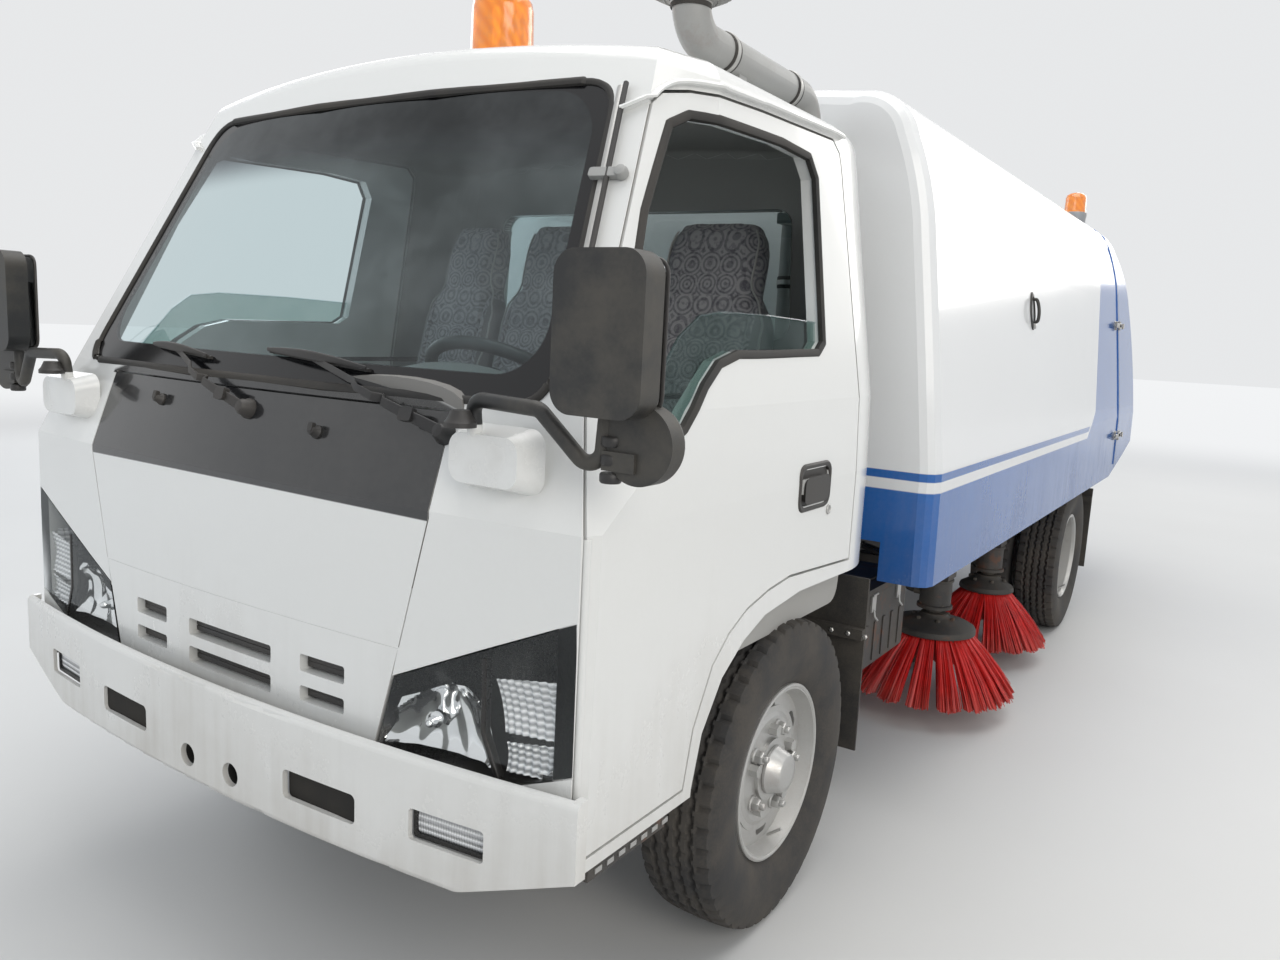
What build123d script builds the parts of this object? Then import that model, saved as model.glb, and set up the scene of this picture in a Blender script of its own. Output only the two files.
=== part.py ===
from build123d import *
import os
from math import atan2, cos, degrees, hypot, pi, radians, sin

# Street sweeper truck, millimetres.
# The front faces -Y, the truck's left side is +X, and the ground is Z = 0.
os.makedirs("parts", exist_ok=True)

# Overall lengths
overall_length = 5990
front_overhang = 1015
wheelbase = 3360
bumper_face = -overall_length / 2
axle_f = bumper_face + front_overhang
axle_r = axle_f + wheelbase
tail = overall_length / 2

# Wheels: 16 inch rims, single in front and twin behind
tyre_r = 387.5
rim_seat_r = 212
flange_r = 222
flange_x = 80
front_x = 752
rear_inner_x = 600
rear_outer_x = 824
nut_circle_r = 104
hand_hole_r = 160
kingpin_x = 650

# Ladder frame
rail_out = 360
rail_w = 60
rail_top = 690
rail_h = 170
rail_wall = 8
rail_front = axle_f - 870
rail_rear = axle_r + 900

# Cab shell, walls and floor
cab_wall = 45
cab_back = axle_f + 510
floor_low = 720
floor_top = 745
seat_deck_low = 876
front_low = 644
seat_deck = 930
gap = 6
tilt_y = axle_f - 885
tilt_pin_r = 12
tilt_z = rail_top

# Sweeper body
body_front = axle_f + 695
body_low = 740
body_wall = 20
body_floor_low = 860
body_floor = 885
door_split = axle_f + 4330
body_hinge_y = rail_rear - 60
body_hinge_z = rail_top + 40

# Cab sections: height, front at the middle, front at the corner, half width at that corner,
# half width of the side, where the side reaches it, half width of the back. Lengths along Y
# are from the front axle.
cab_sections = [
    (545, -968, -918, 866, 880, -890, 775),
    (1130, -962, -915, 864, 880, -880, 775),
    (1320, -905, -842, 802, 872, -600, 770),
    (1890, -616, -552, 712, 774, -400, 700),
    (2090, -515, -450, 675, 735, -330, 670),
]
roof_mid = 2045
roof_edge = 1992
roof_round = 70
back_curve_start = 230
back_curve_mid = (0.62, 180)


def section_at(z):
    """Front middle, front corner and corner half width at a height, by straight rules."""
    for low, high in zip(cab_sections, cab_sections[1:]):
        if z <= high[0]:
            t = (z - low[0]) / (high[0] - low[0])
            return [a + t * (b - a) for a, b in zip(low[1:4], high[1:4])]
    return list(cab_sections[-1][1:4])


def front_y(x, z):
    """Y of the cab's front surface."""
    mid, corner, half = section_at(z)
    return axle_f + mid + (corner - mid) * (x / half) ** 2


def cab_form(inset):
    """The cab's outer form, drawn in by an inset."""
    with BuildPart() as form:
        for z, mid, corner, half, side, full, back in cab_sections:
            half -= inset
            side -= inset
            back -= inset
            with BuildSketch(Plane.XY.offset(z)):
                with BuildLine():
                    f0 = (0, axle_f + mid + inset)
                    f1 = (half, axle_f + corner + inset)
                    s0 = (side, axle_f + full + inset)
                    s1 = (side, axle_f + back_curve_start)
                    b0 = (back, cab_back - inset)
                    turn = (back + back_curve_mid[0] * (side - back), axle_f + 230 + back_curve_mid[1])
                    ThreePointArc((-f1[0], f1[1]), f0, f1)
                    Line(f1, s0)
                    Line(s0, s1)
                    ThreePointArc(s1, (turn[0], turn[1] - inset * 0.5), b0)
                    Line(b0, (-b0[0], b0[1]))
                    ThreePointArc((-b0[0], b0[1]), (-turn[0], turn[1] - inset * 0.5), (-s1[0], s1[1]))
                    Line((-s1[0], s1[1]), (-s0[0], s0[1]))
                    Line((-s0[0], s0[1]), (-f1[0], f1[1]))
                make_face()
        loft(ruled=True)
        gutter_z = roof_edge - 18 - inset
        with BuildSketch(Plane.XZ.offset(-cab_back - 50)):
            with BuildLine():
                ThreePointArc((-900, gutter_z), (0, roof_mid - inset), (900, gutter_z))
                Polyline((900, gutter_z), (900, 500), (-900, 500), (-900, gutter_z))
            make_face()
        extrude(amount=2000, mode=Mode.INTERSECT)
        rim = form.edges().filter_by(lambda e: e.center().Z > 1940 and e.bounding_box().min.Z > 1930)
        fillet(rim, roof_round - inset)
    return form.part


def side_prism(points, x0, x1, spread=0):
    """A prism along X from a closed side outline, (y from the front axle, z) points, grown by a spread."""
    with BuildPart() as prism:
        with BuildSketch(Plane.YZ.offset(x0)):
            with BuildLine():
                Polyline([(axle_f + y, z) for y, z in points], close=True)
            make_face()
            if spread:
                offset(amount=spread, kind=Kind.INTERSECTION)
        extrude(amount=x1 - x0)
    return prism.part


def front_prism(points, y0, y1, round_r=0):
    """A prism along Y from a closed front outline: (x, z) points; y from the front axle."""
    with BuildPart() as prism:
        with BuildSketch(Plane.XZ.offset(-(axle_f + y0))) as outline:
            with BuildLine():
                Polyline(points, close=True)
            make_face()
            if round_r:
                fillet(outline.vertices(), round_r)
        extrude(amount=-(y1 - y0))
    return prism.part


def save(piece, name):
    piece.label = name
    export_step(piece, f"parts/{name}.step")


form_0 = cab_form(0)
form_glass_out = cab_form(5)
form_glass_in = cab_form(11)
form_skin = cab_form(14)
form_lamp = cab_form(58)
form_wall = cab_form(cab_wall)

# Outlines in front view
screen_low = 1322
screen_top = 1932
screen_outline = [(-735, screen_low), (735, screen_low), (632, screen_top), (-632, screen_top)]
band_low = 1118
band_top = 1300
grille_outline = [(-487, 868), (487, 868), (430, 664), (-430, 664)]
lamp_outline = [(479, 814), (680, 904), (890, 998), (890, 732), (728, 673), (437, 655)]
panel_outline = [(-550, band_low), (-487, 871), (487, 871), (550, band_low), (545, band_top),
                 (-545, band_top)]

# Outlines in side view, from the front axle
arch_inner = [(-540, 500), (-536, 560), (-505, 668), (-433, 765), (-345, 823), (-250, 858), (-69, 876),
              (600, 860)]
arch_outer = [(-578, 500), (-572, 575), (-545, 690), (-480, 805), (-415, 858), (-340, 893), (-240, 915),
              (-133, 926), (226, 905)]
door_front = [(-910, 575), (-906, 1130), (-833, 1322), (-549, 1880)]
door_top = [(-520, 1903), (-457, 1915), (-199, 1929), (190, 1941), (222, 1915), (226, 1880)]
window_outline = [
    (-790, 1215), (-621, 1290), (-540, 1365), (-477, 1407), (-400, 1426), (-11, 1430), (25, 1452),
    (62, 1830), (30, 1876), (-111, 1882), (-468, 1868), (-520, 1842), (-620, 1671), (-770, 1330),
]
door_outline = door_front + door_top + list(reversed(arch_outer[2:])) + [(-572, 575)]


def grow(points, centre, amount):
    """Outline points moved away from a centre by a fixed amount."""
    grown = []
    for y, z in points:
        dy = y - centre[0]
        dz = z - centre[1]
        reach = hypot(dy, dz)
        grown.append((y + dy / reach * amount, z + dz / reach * amount))
    return grown


with BuildPart() as door_zone_box:
    with Locations((0, axle_f - 916, 500)):
        Box(2000, 900, 1000, align=(Align.CENTER, Align.MIN, Align.MIN))
        Box(2 * 826, 900, 1000, align=(Align.CENTER, Align.MIN, Align.MIN), mode=Mode.SUBTRACT)
door_zone = door_zone_box.part
belt = 1140
door_inside = [(-822, belt), (822, belt), (760, 1320), (670, 1890), (655, 1990), (-655, 1990), (-670, 1890),
               (-760, 1320)]
door_span = {1: (500, 1000), -1: (-1000, -500)}


def door_return(half):
    """The space between the two doors below the belt, where a door is only as thick as its skin."""
    with BuildPart() as space:
        with Locations((0, axle_f, belt)):
            Box(2 * half, 2200, 900, align=(Align.CENTER, Align.CENTER, Align.MAX))
    return space.part


# Cab shell: walls, roof, raised seat deck, footwell floor, pillars and flares
with BuildPart() as cab_shell:
    add(form_0)
    cavity = [(-850, floor_top), (-850, 1270), (-930, 1300), (-930, 2100), (600, 2100), (600, seat_deck),
              (-500, seat_deck), (-560, floor_top)]
    with BuildPart(mode=Mode.PRIVATE) as room:
        add(form_wall)
        add(side_prism(cavity, -1000, 1000), mode=Mode.INTERSECT)
    add(room.part, mode=Mode.SUBTRACT)
    add(side_prism([(-1000, 500), (-1000, front_low), (-905, front_low), (-905, 500)], -1000, 1000),
        mode=Mode.SUBTRACT)
    add(side_prism([(-940, 500), (-940, floor_low), (-900, floor_low), (-900, 500)], -400, 400),
        mode=Mode.SUBTRACT)
    add(side_prism([(-905, 500), (-905, floor_low), (-560, floor_low), (-480, seat_deck_low),
                    (-69, seat_deck_low), (600, 860), (600, 500)], -835, 835), mode=Mode.SUBTRACT)
    add(side_prism([(-535, 500)] + arch_inner + [(600, 500)], -1000, 1000), mode=Mode.SUBTRACT)
    for side in (-1, 1):
        with BuildPart(mode=Mode.PRIVATE) as doorway:
            add(side_prism(door_outline, *door_span[side], gap))
            add(form_wall, mode=Mode.SUBTRACT)
            add(door_return(830), mode=Mode.SUBTRACT)
        add(doorway.part, mode=Mode.SUBTRACT)
    add(front_prism(screen_outline, -1000, -430, 60), mode=Mode.SUBTRACT)
    with BuildPart(mode=Mode.PRIVATE) as slot_space:
        add(front_prism([(-370, 690), (370, 690), (370, 810), (-370, 810)], -1000, -700))
        add(form_lamp, mode=Mode.SUBTRACT)
    add(slot_space.part, mode=Mode.SUBTRACT)
    grille_pocket = [(x * 1.0008, z + (0.4 if z > 850 else -40)) for x, z in grille_outline]
    panel_pocket = [(x * 1.006, z + (4 if z > 1200 else 0)) for x, z in panel_outline]
    for outline, depth in ((grille_pocket, 30.3), (panel_pocket, 14)):
        with BuildPart(mode=Mode.PRIVATE) as pocket:
            add(front_prism(outline, -1000, -700))
            add(cab_form(depth), mode=Mode.SUBTRACT)
        add(pocket.part, mode=Mode.SUBTRACT)
    for side in (-1, 1):
        with BuildPart(mode=Mode.PRIVATE) as lamp_pocket:
            add(front_prism([(side * x, z) for x, z in grow(lamp_outline, (640, 780), 4)], -1000, -700))
            add(cab_form(64), mode=Mode.SUBTRACT)
            add(door_zone, mode=Mode.SUBTRACT)
        add(lamp_pocket.part, mode=Mode.SUBTRACT)
    rear_light = [(-560, 1450), (560, 1450), (540, 1820), (-540, 1820)]
    add(front_prism(rear_light, 380, 600, 50), mode=Mode.SUBTRACT)
    for side in (-1, 1):
        with BuildSketch(Plane.YZ.offset(side * 380 - 8)):
            with Locations((tilt_y, floor_low - 18)):
                Rectangle(36, 60)
            with Locations((tilt_y, tilt_z)):
                Circle(tilt_pin_r + 0.05, mode=Mode.SUBTRACT)
        extrude(amount=16)
save(cab_shell.part, "cab_shell")

# Front panel with its dark band area, and the grille with its slots
with BuildPart() as front_panel:
    add(front_prism(panel_outline, -1000, -700))
    with BuildPart(mode=Mode.PRIVATE) as skin_layer:
        add(form_0)
        add(form_skin, mode=Mode.SUBTRACT)
    add(skin_layer.part, mode=Mode.INTERSECT)
save(front_panel.part, "front_panel")

# Grille slots: middle x, half width, low z, high z
grille_slots = [(0, 140, 762, 799), (0, 140, 700, 737), (290, 62, 768, 803), (290, 62, 708, 739),
                (-290, 62, 768, 803), (-290, 62, 708, 739)]
with BuildPart() as grille_panel:
    add(front_prism(grille_outline, -1000, -700))
    with BuildPart(mode=Mode.PRIVATE) as grille_layer:
        add(form_0)
        add(cab_form(30), mode=Mode.SUBTRACT)
    add(grille_layer.part, mode=Mode.INTERSECT)
    for x, half, low, high in grille_slots:
        slot = [(x - half, low), (x + half, low), (x + half, high), (x - half, high)]
        add(front_prism(slot, -1000, -700, 6), mode=Mode.SUBTRACT)
save(grille_panel.part, "grille_panel")

for side, name in ((1, "headlamp_left"), (-1, "headlamp_right")):
    with BuildPart() as headlamp:
        add(front_prism([(side * x, z) for x, z in lamp_outline], -1000, -700))
        with BuildPart(mode=Mode.PRIVATE) as lamp_layer:
            add(form_0)
            add(form_lamp, mode=Mode.SUBTRACT)
            add(door_zone, mode=Mode.SUBTRACT)
        add(lamp_layer.part, mode=Mode.INTERSECT)
    save(headlamp.part, name)

# Glass: windscreen and rear window
with BuildPart() as glass_layer:
    add(form_glass_out)
    add(form_glass_in, mode=Mode.SUBTRACT)
with BuildPart() as windscreen:
    screen_cut = [(x * 0.9996, z + (0.3 if z < 1500 else -0.3)) for x, z in screen_outline]
    add(front_prism(screen_cut, -1000, -430, 59.7))
    add(glass_layer.part, mode=Mode.INTERSECT)
save(windscreen.part, "windscreen")
with BuildPart() as rear_window:
    rear_cut = [(x * 0.9995, z + (0.3 if z < 1500 else -0.3)) for x, z in rear_light]
    add(front_prism(rear_cut, 380, 600, 49.7))
    add(glass_layer.part, mode=Mode.INTERSECT)
save(rear_window.part, "rear_window")

# Doors with window openings, handles and glass. The glass runs in the middle of the frame.
hinge_x = 865
hinge_y = axle_f - 902
door_edge_r = 8
door_edge_low = 577
door_edge_h = 548
handle_y = axle_f - 29
handle_z = 1120
for side, hand in ((1, "left"), (-1, "right")):
    x0, x1 = door_span[side]
    with BuildPart() as door:
        add(side_prism(door_outline, x0, x1))
        with BuildPart(mode=Mode.PRIVATE) as door_layer:
            add(form_0)
            add(cab_form(40), mode=Mode.SUBTRACT)
        add(door_layer.part, mode=Mode.INTERSECT)
        add(door_return(837), mode=Mode.SUBTRACT)
        add(front_prism(door_inside, -1000, 500), mode=Mode.SUBTRACT)
        add(side_prism(window_outline, x0, x1), mode=Mode.SUBTRACT)
        with Locations((side * hinge_x, hinge_y, door_edge_low)):
            Box(100, 40, door_edge_h, align=(Align.CENTER, Align.MAX, Align.MIN), mode=Mode.SUBTRACT)
            Cylinder(door_edge_r, door_edge_h, align=(Align.CENTER, Align.CENTER, Align.MIN))
        with Locations((side * 880, handle_y, handle_z)):
            Box(24, 150, 84, mode=Mode.SUBTRACT)
        with Locations((side * 875, handle_y + 4, handle_z + 4)):
            Box(12, 142, 34)
    save(door.part, f"door_{hand}")
    with BuildPart() as door_glass:
        add(side_prism(window_outline, x0, x1, -0.3))
        with BuildPart(mode=Mode.PRIVATE) as pane_layer:
            add(cab_form(18))
            add(cab_form(23), mode=Mode.SUBTRACT)
        add(pane_layer.part, mode=Mode.INTERSECT)
    save(door_glass.part, f"door_glass_{hand}")

# Bumper: a curved trough, open at the back, with air openings, lamp pockets and two round tow holes
bumper_skin = 12
bumper_flange = 15
bumper_top = 696
bumper_low = 464
bumper_half = 900
bumper_end_y = 72
tow_hole_r = 25
tow_hole_x = 74
tow_hole_z = 523


def bumper_outline(inset, depth):
    half = bumper_half - inset
    end_y = bumper_face + bumper_end_y + inset * 0.4
    with BuildLine() as line:
        ThreePointArc((-half, end_y), (0, bumper_face + inset), (half, end_y))
        Polyline((half, end_y), (half, bumper_face + depth), (-half, bumper_face + depth), (-half, end_y))
    return line.line


with BuildPart() as bumper:
    with BuildSketch(Plane.XY.offset(bumper_low)):
        with BuildLine():
            add(bumper_outline(0, 100))
        make_face()
    extrude(amount=bumper_top - bumper_low)
    front_edges = bumper.edges().filter_by(Axis.Z, reverse=True).group_by(Axis.Y)[0]
    fillet(front_edges, 14)
    with BuildSketch(Plane.XY.offset(bumper_low - 1)):
        with BuildLine():
            add(bumper_outline(bumper_skin, 101))
        make_face()
    extrude(amount=bumper_top - bumper_low - bumper_skin + 1, mode=Mode.SUBTRACT)
    with BuildSketch(Plane.XY.offset(bumper_top - bumper_skin - 1)):
        with BuildLine():
            add(bumper_outline(bumper_flange, 101))
        make_face()
    extrude(amount=bumper_skin + 2, mode=Mode.SUBTRACT)
    for side in (-1, 1):
        corner = [(side * 470, 400), (side * 950, 400), (side * 950, 572), (side * 880, 548)]
        add(front_prism(corner, -1040, -880), mode=Mode.SUBTRACT)
        add(front_prism([(side * 237, 526), (side * 431, 526), (side * 431, 585), (side * 237, 585)],
                        -1040, -880, 12), mode=Mode.SUBTRACT)
        add(front_prism([(side * 560, 540), (side * 722, 540), (side * 722, 600), (side * 560, 600)],
                        -1040, -880, 8), mode=Mode.SUBTRACT)
        with BuildSketch(Plane.XZ.offset(-bumper_face + 10)):
            with Locations((side * tow_hole_x, tow_hole_z)):
                Circle(tow_hole_r)
        extrude(amount=-60, mode=Mode.SUBTRACT)
save(bumper.part, "bumper")

with BuildPart() as fog_lamps:
    for side in (-1, 1):
        add(front_prism([(side * 560.3, 540.3), (side * 721.7, 540.3), (side * 721.7, 599.7),
                         (side * 560.3, 599.7)], -985, -925, 7.7))
save(fog_lamps.part, "fog_lamps")

# Steps under the doors: a tread plate on an upright that hangs from the cab floor
step_y = axle_f - 740
step_len = 250
step_top = 538
step_t = 26
with BuildPart() as steps:
    for side in (-1, 1):
        with Locations((side * 790, step_y, step_top)):
            Box(160, step_len, step_t, align=(Align.CENTER, Align.CENTER, Align.MAX))
        upright = floor_low - 0.3 - step_top + step_t
        with Locations((side * 716, step_y, floor_low - 0.3)):
            Box(12, step_len, upright, align=(Align.CENTER, Align.CENTER, Align.MAX))
save(steps.part, "steps")

# Cab inside: dashboard, steering wheel, seats
dash_half = 700
with BuildPart() as dashboard:
    add(side_prism([(-849.7, 1050), (-849.7, 1270.4), (-930, 1300.6), (-930, 1330), (-700, 1310),
                    (-620, 1260), (-600, 1180), (-700, 1060)], -dash_half, dash_half))
    add(cab_form(cab_wall + 0.4), mode=Mode.INTERSECT)
save(dashboard.part, "dashboard")

wheel_mid = (390, axle_f - 520, 1300)
wheel_tilt = 35
wheel_r = 205
wheel_plane = Plane(origin=wheel_mid, x_dir=(1, 0, 0),
                    z_dir=(0, sin(radians(wheel_tilt)), cos(radians(wheel_tilt))))
column_len = 125
with BuildPart() as steering_wheel:
    with BuildSketch(Plane(origin=wheel_plane.origin, x_dir=wheel_plane.x_dir,
                           z_dir=wheel_plane.x_dir.cross(wheel_plane.z_dir) * -1)):
        with Locations((wheel_r, 0)):
            Circle(14)
    revolve(axis=Axis(wheel_plane.origin, wheel_plane.z_dir))
    with BuildSketch(wheel_plane.offset(-22)):
        Circle(45)
    extrude(amount=30)
    with BuildSketch(wheel_plane.offset(-10)):
        with PolarLocations(wheel_r / 2 + 10, 3, start_angle=90):
            Rectangle(wheel_r - 30, 26)
    extrude(amount=10)
    with BuildSketch(wheel_plane.offset(-column_len)):
        Circle(18)
    extrude(amount=column_len - 20)
save(steering_wheel.part, "steering_wheel")

# Seats: middle x, half width
seat_rows = [("seat_left", 400, 240), ("seat_right", -330, 330)]
seat_low = seat_deck + 0.3
for name, x, half in seat_rows:
    with BuildPart() as seat:
        with BuildSketch(Plane.YZ.offset(x - half)) as seat_side:
            with BuildLine():
                Polyline([(axle_f + y, z) for y, z in [
                    (-330, seat_low), (210, seat_low), (300, 1240), (345, 1690), (290, 1720), (235, 1690),
                    (175, 1300), (110, 1110), (-300, 1120), (-345, 1080)]], close=True)
            make_face()
            fillet(seat_side.vertices(), 22)
        extrude(amount=2 * half)
    save(seat.part, name)

# Mirrors: a tall head and a round one on a bent tube that grows from a box on the cab's corner
arm_r = 13
head_mid = (925, axle_f - 960, 1452)
round_mid = (975, axle_f - 925, 1290)
for side, hand in ((1, "left"), (-1, "right")):
    box_y = front_y(680, 1235) - 10
    box_plane = Plane(origin=(side * 680, box_y, 1235), x_dir=(1, 0, 0), z_dir=(0, -1, 0))
    with BuildPart() as mirror:
        with BuildSketch(box_plane.offset(0.0)) as base:
            RectangleRounded(190, 112, 30)
        with BuildSketch(box_plane.offset(48)) as cap:
            RectangleRounded(150, 84, 26)
        loft()
        add(cab_form(0), mode=Mode.SUBTRACT)
        with BuildLine():
            FilletPolyline([(side * 655, box_y - 38, 1275), (side * 655, box_y - 45, 1335),
                            (side * 800, box_y - 50, 1330), (side * 905, head_mid[1] + 30, 1225),
                            (side * 925, head_mid[1] + 30, 1500)], radius=24)
        with BuildSketch(Plane(origin=(side * 655, box_y - 38, 1275), z_dir=(0, -7, 60))):
            Circle(arm_r)
        sweep()
        with BuildSketch(Plane.XZ.offset(-(head_mid[1] - 24))) as face:
            with Locations((side * head_mid[0], head_mid[2])):
                RectangleRounded(165, 245, 38)
        extrude(amount=-50)
        with BuildSketch(Plane.XZ.offset(-(round_mid[1] - 12))):
            with Locations((side * round_mid[0], round_mid[2])):
                Circle(62)
        extrude(amount=-34)
        with Locations((side * 945, head_mid[1] + 34, 1262)):
            Box(60, 34, 30)
    save(mirror.part, f"mirror_{hand}")

# Wipers: arms and blades close over the glass. Columns: pivot x, z, tip x, z
wiper_lift = 9
wiper_rows = [(70, 1255, -380, 1372), (560, 1262, 100, 1380)]


def over_glass(x, z, lift):
    return Vector(x, front_y(x, z) - lift, z)


with BuildPart() as wipers:
    for px, pz, tx, tz in wiper_rows:
        p0 = over_glass(px, pz, 10)
        p1 = over_glass(px + (tx - px) * 0.5, pz + (tz - pz) * 0.8, 30)
        for a, b, r in ((p0, p1, 7),):
            with BuildSketch(Plane(origin=a, z_dir=b - a)):
                Circle(r)
            extrude(amount=(b - a).length)
        with Locations(p0):
            Sphere(16)
        q0 = over_glass(px + (tx - px) * 0.12, pz + (tz - pz) * 0.72, wiper_lift + 16)
        q1 = over_glass(tx, tz, wiper_lift + 12)
        with BuildSketch(Plane(origin=q0, z_dir=q1 - q0)):
            Circle(8)
        extrude(amount=(q1 - q0).length)
    add(cab_form(-0.3), mode=Mode.SUBTRACT)
save(wipers.part, "wipers")

# Roof beacon: foot, base and dome
beacon_y = axle_f - 170
roof_z = roof_mid + 0.3
with BuildPart() as roof_beacon:
    with BuildSketch(Plane.XZ.offset(-beacon_y)):
        with BuildLine():
            Polyline((0, roof_z), (88, roof_z), (92, roof_z + 28), (84, roof_z + 62), (82, roof_z + 70),
                     (76, roof_z + 190))
            ThreePointArc((76, roof_z + 190), (50, roof_z + 225), (10, roof_z + 236))
            Polyline((10, roof_z + 236), (0, roof_z + 236), (0, roof_z))
        make_face()
    revolve(axis=Axis((0, beacon_y, 0), (0, 0, 1)))
save(roof_beacon.part, "roof_beacon")

# Air intake: a pipe up the cab's back, forward over the roof, and up into a rain cap
pipe_r = 46
pipe_x = 500
pipe_y = axle_f + 590
pipe_top = 2140
pipe_end_y = axle_f - 80
with BuildPart() as intake_pipe:
    with BuildLine():
        FilletPolyline([(pipe_x, pipe_y, 960), (pipe_x, pipe_y, pipe_top), (pipe_x, pipe_end_y, pipe_top + 8),
                        (pipe_x, pipe_end_y, pipe_top + 130)], radius=80)
    with BuildSketch(Plane.XY.offset(960)):
        with Locations((pipe_x, pipe_y)):
            Circle(pipe_r)
    sweep()
    with BuildSketch(Plane.XZ.offset(-pipe_end_y)):
        with BuildLine():
            Polyline((pipe_x, 2222), (pipe_x + 60, 2222), (pipe_x + 100, 2240), (pipe_x + 104, 2270),
                     (pipe_x + 90, 2296))
            ThreePointArc((pipe_x + 90, 2296), (pipe_x + 52, 2322), (pipe_x + 10, 2330))
            Polyline((pipe_x + 10, 2330), (pipe_x, 2330), (pipe_x, 2222))
        make_face()
    revolve(axis=Axis((pipe_x, pipe_end_y, 0), (0, 0, 1)))
    for z in (1150, 1800):
        with Locations((pipe_x, (cab_back + 0.3 + pipe_y) / 2, z)):
            Box(60, pipe_y - cab_back - 0.3, 30)
    with Locations((pipe_x, axle_f + 150, pipe_top)):
        Box(50, 40, pipe_top - roof_mid + 19.5, align=(Align.CENTER, Align.CENTER, Align.MAX))
save(intake_pipe.part, "intake_pipe")


# Wheels, drawn on a plane through the axle with x outwards
def hub_plane(x, y):
    return Plane(origin=(x, y, tyre_r), x_dir=(1, 0, 0), z_dir=(0, -1, 0))


def tyre(x, y):
    with BuildPart() as ring:
        with BuildSketch(hub_plane(x, y)):
            with BuildLine():
                Polyline((-69.5, rim_seat_r + 0.2), (-71.5, 224), (-92, 262), (-100, 305), (-97, 348))
                ThreePointArc((-97, 348), (-90, 372), (-74, 383))
                ThreePointArc((-74, 383), (0, tyre_r), (74, 383))
                ThreePointArc((74, 383), (90, 372), (97, 348))
                Polyline((97, 348), (100, 305), (92, 262), (71.5, 224), (69.5, rim_seat_r + 0.2),
                         (-69.5, rim_seat_r + 0.2))
            make_face()
        revolve(axis=Axis((x, y, tyre_r), (1, 0, 0)))
    return ring.part


def rim(x, y, out, face, hub):
    """A disc wheel. out is the way its disc bulges, face the disc's outer face from the middle."""
    with BuildPart() as disc:
        with BuildSketch(hub_plane(x, y)):
            with BuildLine():
                Polyline(*[(out * px, pr) for px, pr in [
                    (-flange_x, flange_r), (-flange_x + 8, flange_r), (-70, rim_seat_r), (70, rim_seat_r),
                    (flange_x - 8, flange_r), (flange_x, flange_r), (flange_x, 208), (66, 204), (40, 196),
                    (face - 8, 150), (face, 132), (face, 60), (face - 10, 60), (face - 10, 128),
                    (face - 20, 146), (26, 190), (10, 204), (-66, 204), (-flange_x, 208),
                    (-flange_x, flange_r)]])
            make_face()
        revolve(axis=Axis((x, y, tyre_r), (1, 0, 0)))
        spoke = Plane(origin=(x, y, tyre_r), x_dir=(0, 1, 0), z_dir=(out, 0, 0))
        with BuildSketch(spoke.offset(-20)):
            with PolarLocations(hand_hole_r, 6, start_angle=30):
                SlotOverall(58, 34, rotation=90)
        extrude(amount=flange_x + 20, mode=Mode.SUBTRACT)
        if hub:
            with BuildSketch(spoke.offset(face)):
                with PolarLocations(nut_circle_r, 5, start_angle=18):
                    RegularPolygon(16, 6)
            extrude(amount=22)
            with BuildSketch(spoke.offset(face - 34)):
                Circle(78)
            extrude(amount=44)
            with BuildSketch(spoke.offset(face + 10)) as cap_low:
                Circle(58)
            with BuildSketch(spoke.offset(face + 52)) as cap_high:
                Circle(44)
            loft()
    return disc.part


spindle_r = 22
drum_x = 702
for side, hand in ((1, "left"), (-1, "right")):
    with BuildPart() as front_tyre:
        add(tyre(side * front_x, axle_f))
    save(front_tyre.part, f"front_tyre_{hand}")
    with BuildPart() as front_rim:
        add(rim(side * front_x, axle_f, side, 50, True))
        drum = Plane(origin=(side * drum_x, axle_f, tyre_r), z_dir=(side, 0, 0))
        with BuildSketch(drum):
            Circle(158)
        extrude(amount=front_x + 45 - drum_x)
        with BuildSketch(drum):
            Circle(spindle_r + 0.05)
        extrude(amount=60, mode=Mode.SUBTRACT)
    save(front_rim.part, f"front_rim_{hand}")
    with BuildPart() as rear_tyres:
        add(tyre(side * rear_outer_x, axle_r))
        add(tyre(side * rear_inner_x, axle_r))
    save(rear_tyres.part, f"rear_tyres_{hand}")
    disc_out = rear_outer_x - 712
    with BuildPart() as rear_rims:
        add(rim(side * rear_outer_x, axle_r, -side, disc_out, False))
        add(rim(side * rear_inner_x, axle_r, side, disc_out, False))
        for start, end, r in ((530, 712 + 10, 150), (712 + 10, 800, 78), (800, 845, 60)):
            with BuildSketch(Plane(origin=(side * start, axle_r, tyre_r), z_dir=(side, 0, 0))):
                Circle(r)
            extrude(amount=end - start)
        with BuildSketch(Plane(origin=(side * 722, axle_r, tyre_r), x_dir=(0, 1, 0), z_dir=(side, 0, 0))):
            with PolarLocations(nut_circle_r, 5, start_angle=18):
                RegularPolygon(16, 6)
        extrude(amount=30)
        with BuildSketch(Plane(origin=(side * 530, axle_r, tyre_r), z_dir=(side, 0, 0))):
            Circle(spindle_r + 20.05)
        extrude(amount=100, mode=Mode.SUBTRACT)
    save(rear_rims.part, f"rear_rims_{hand}")

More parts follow.
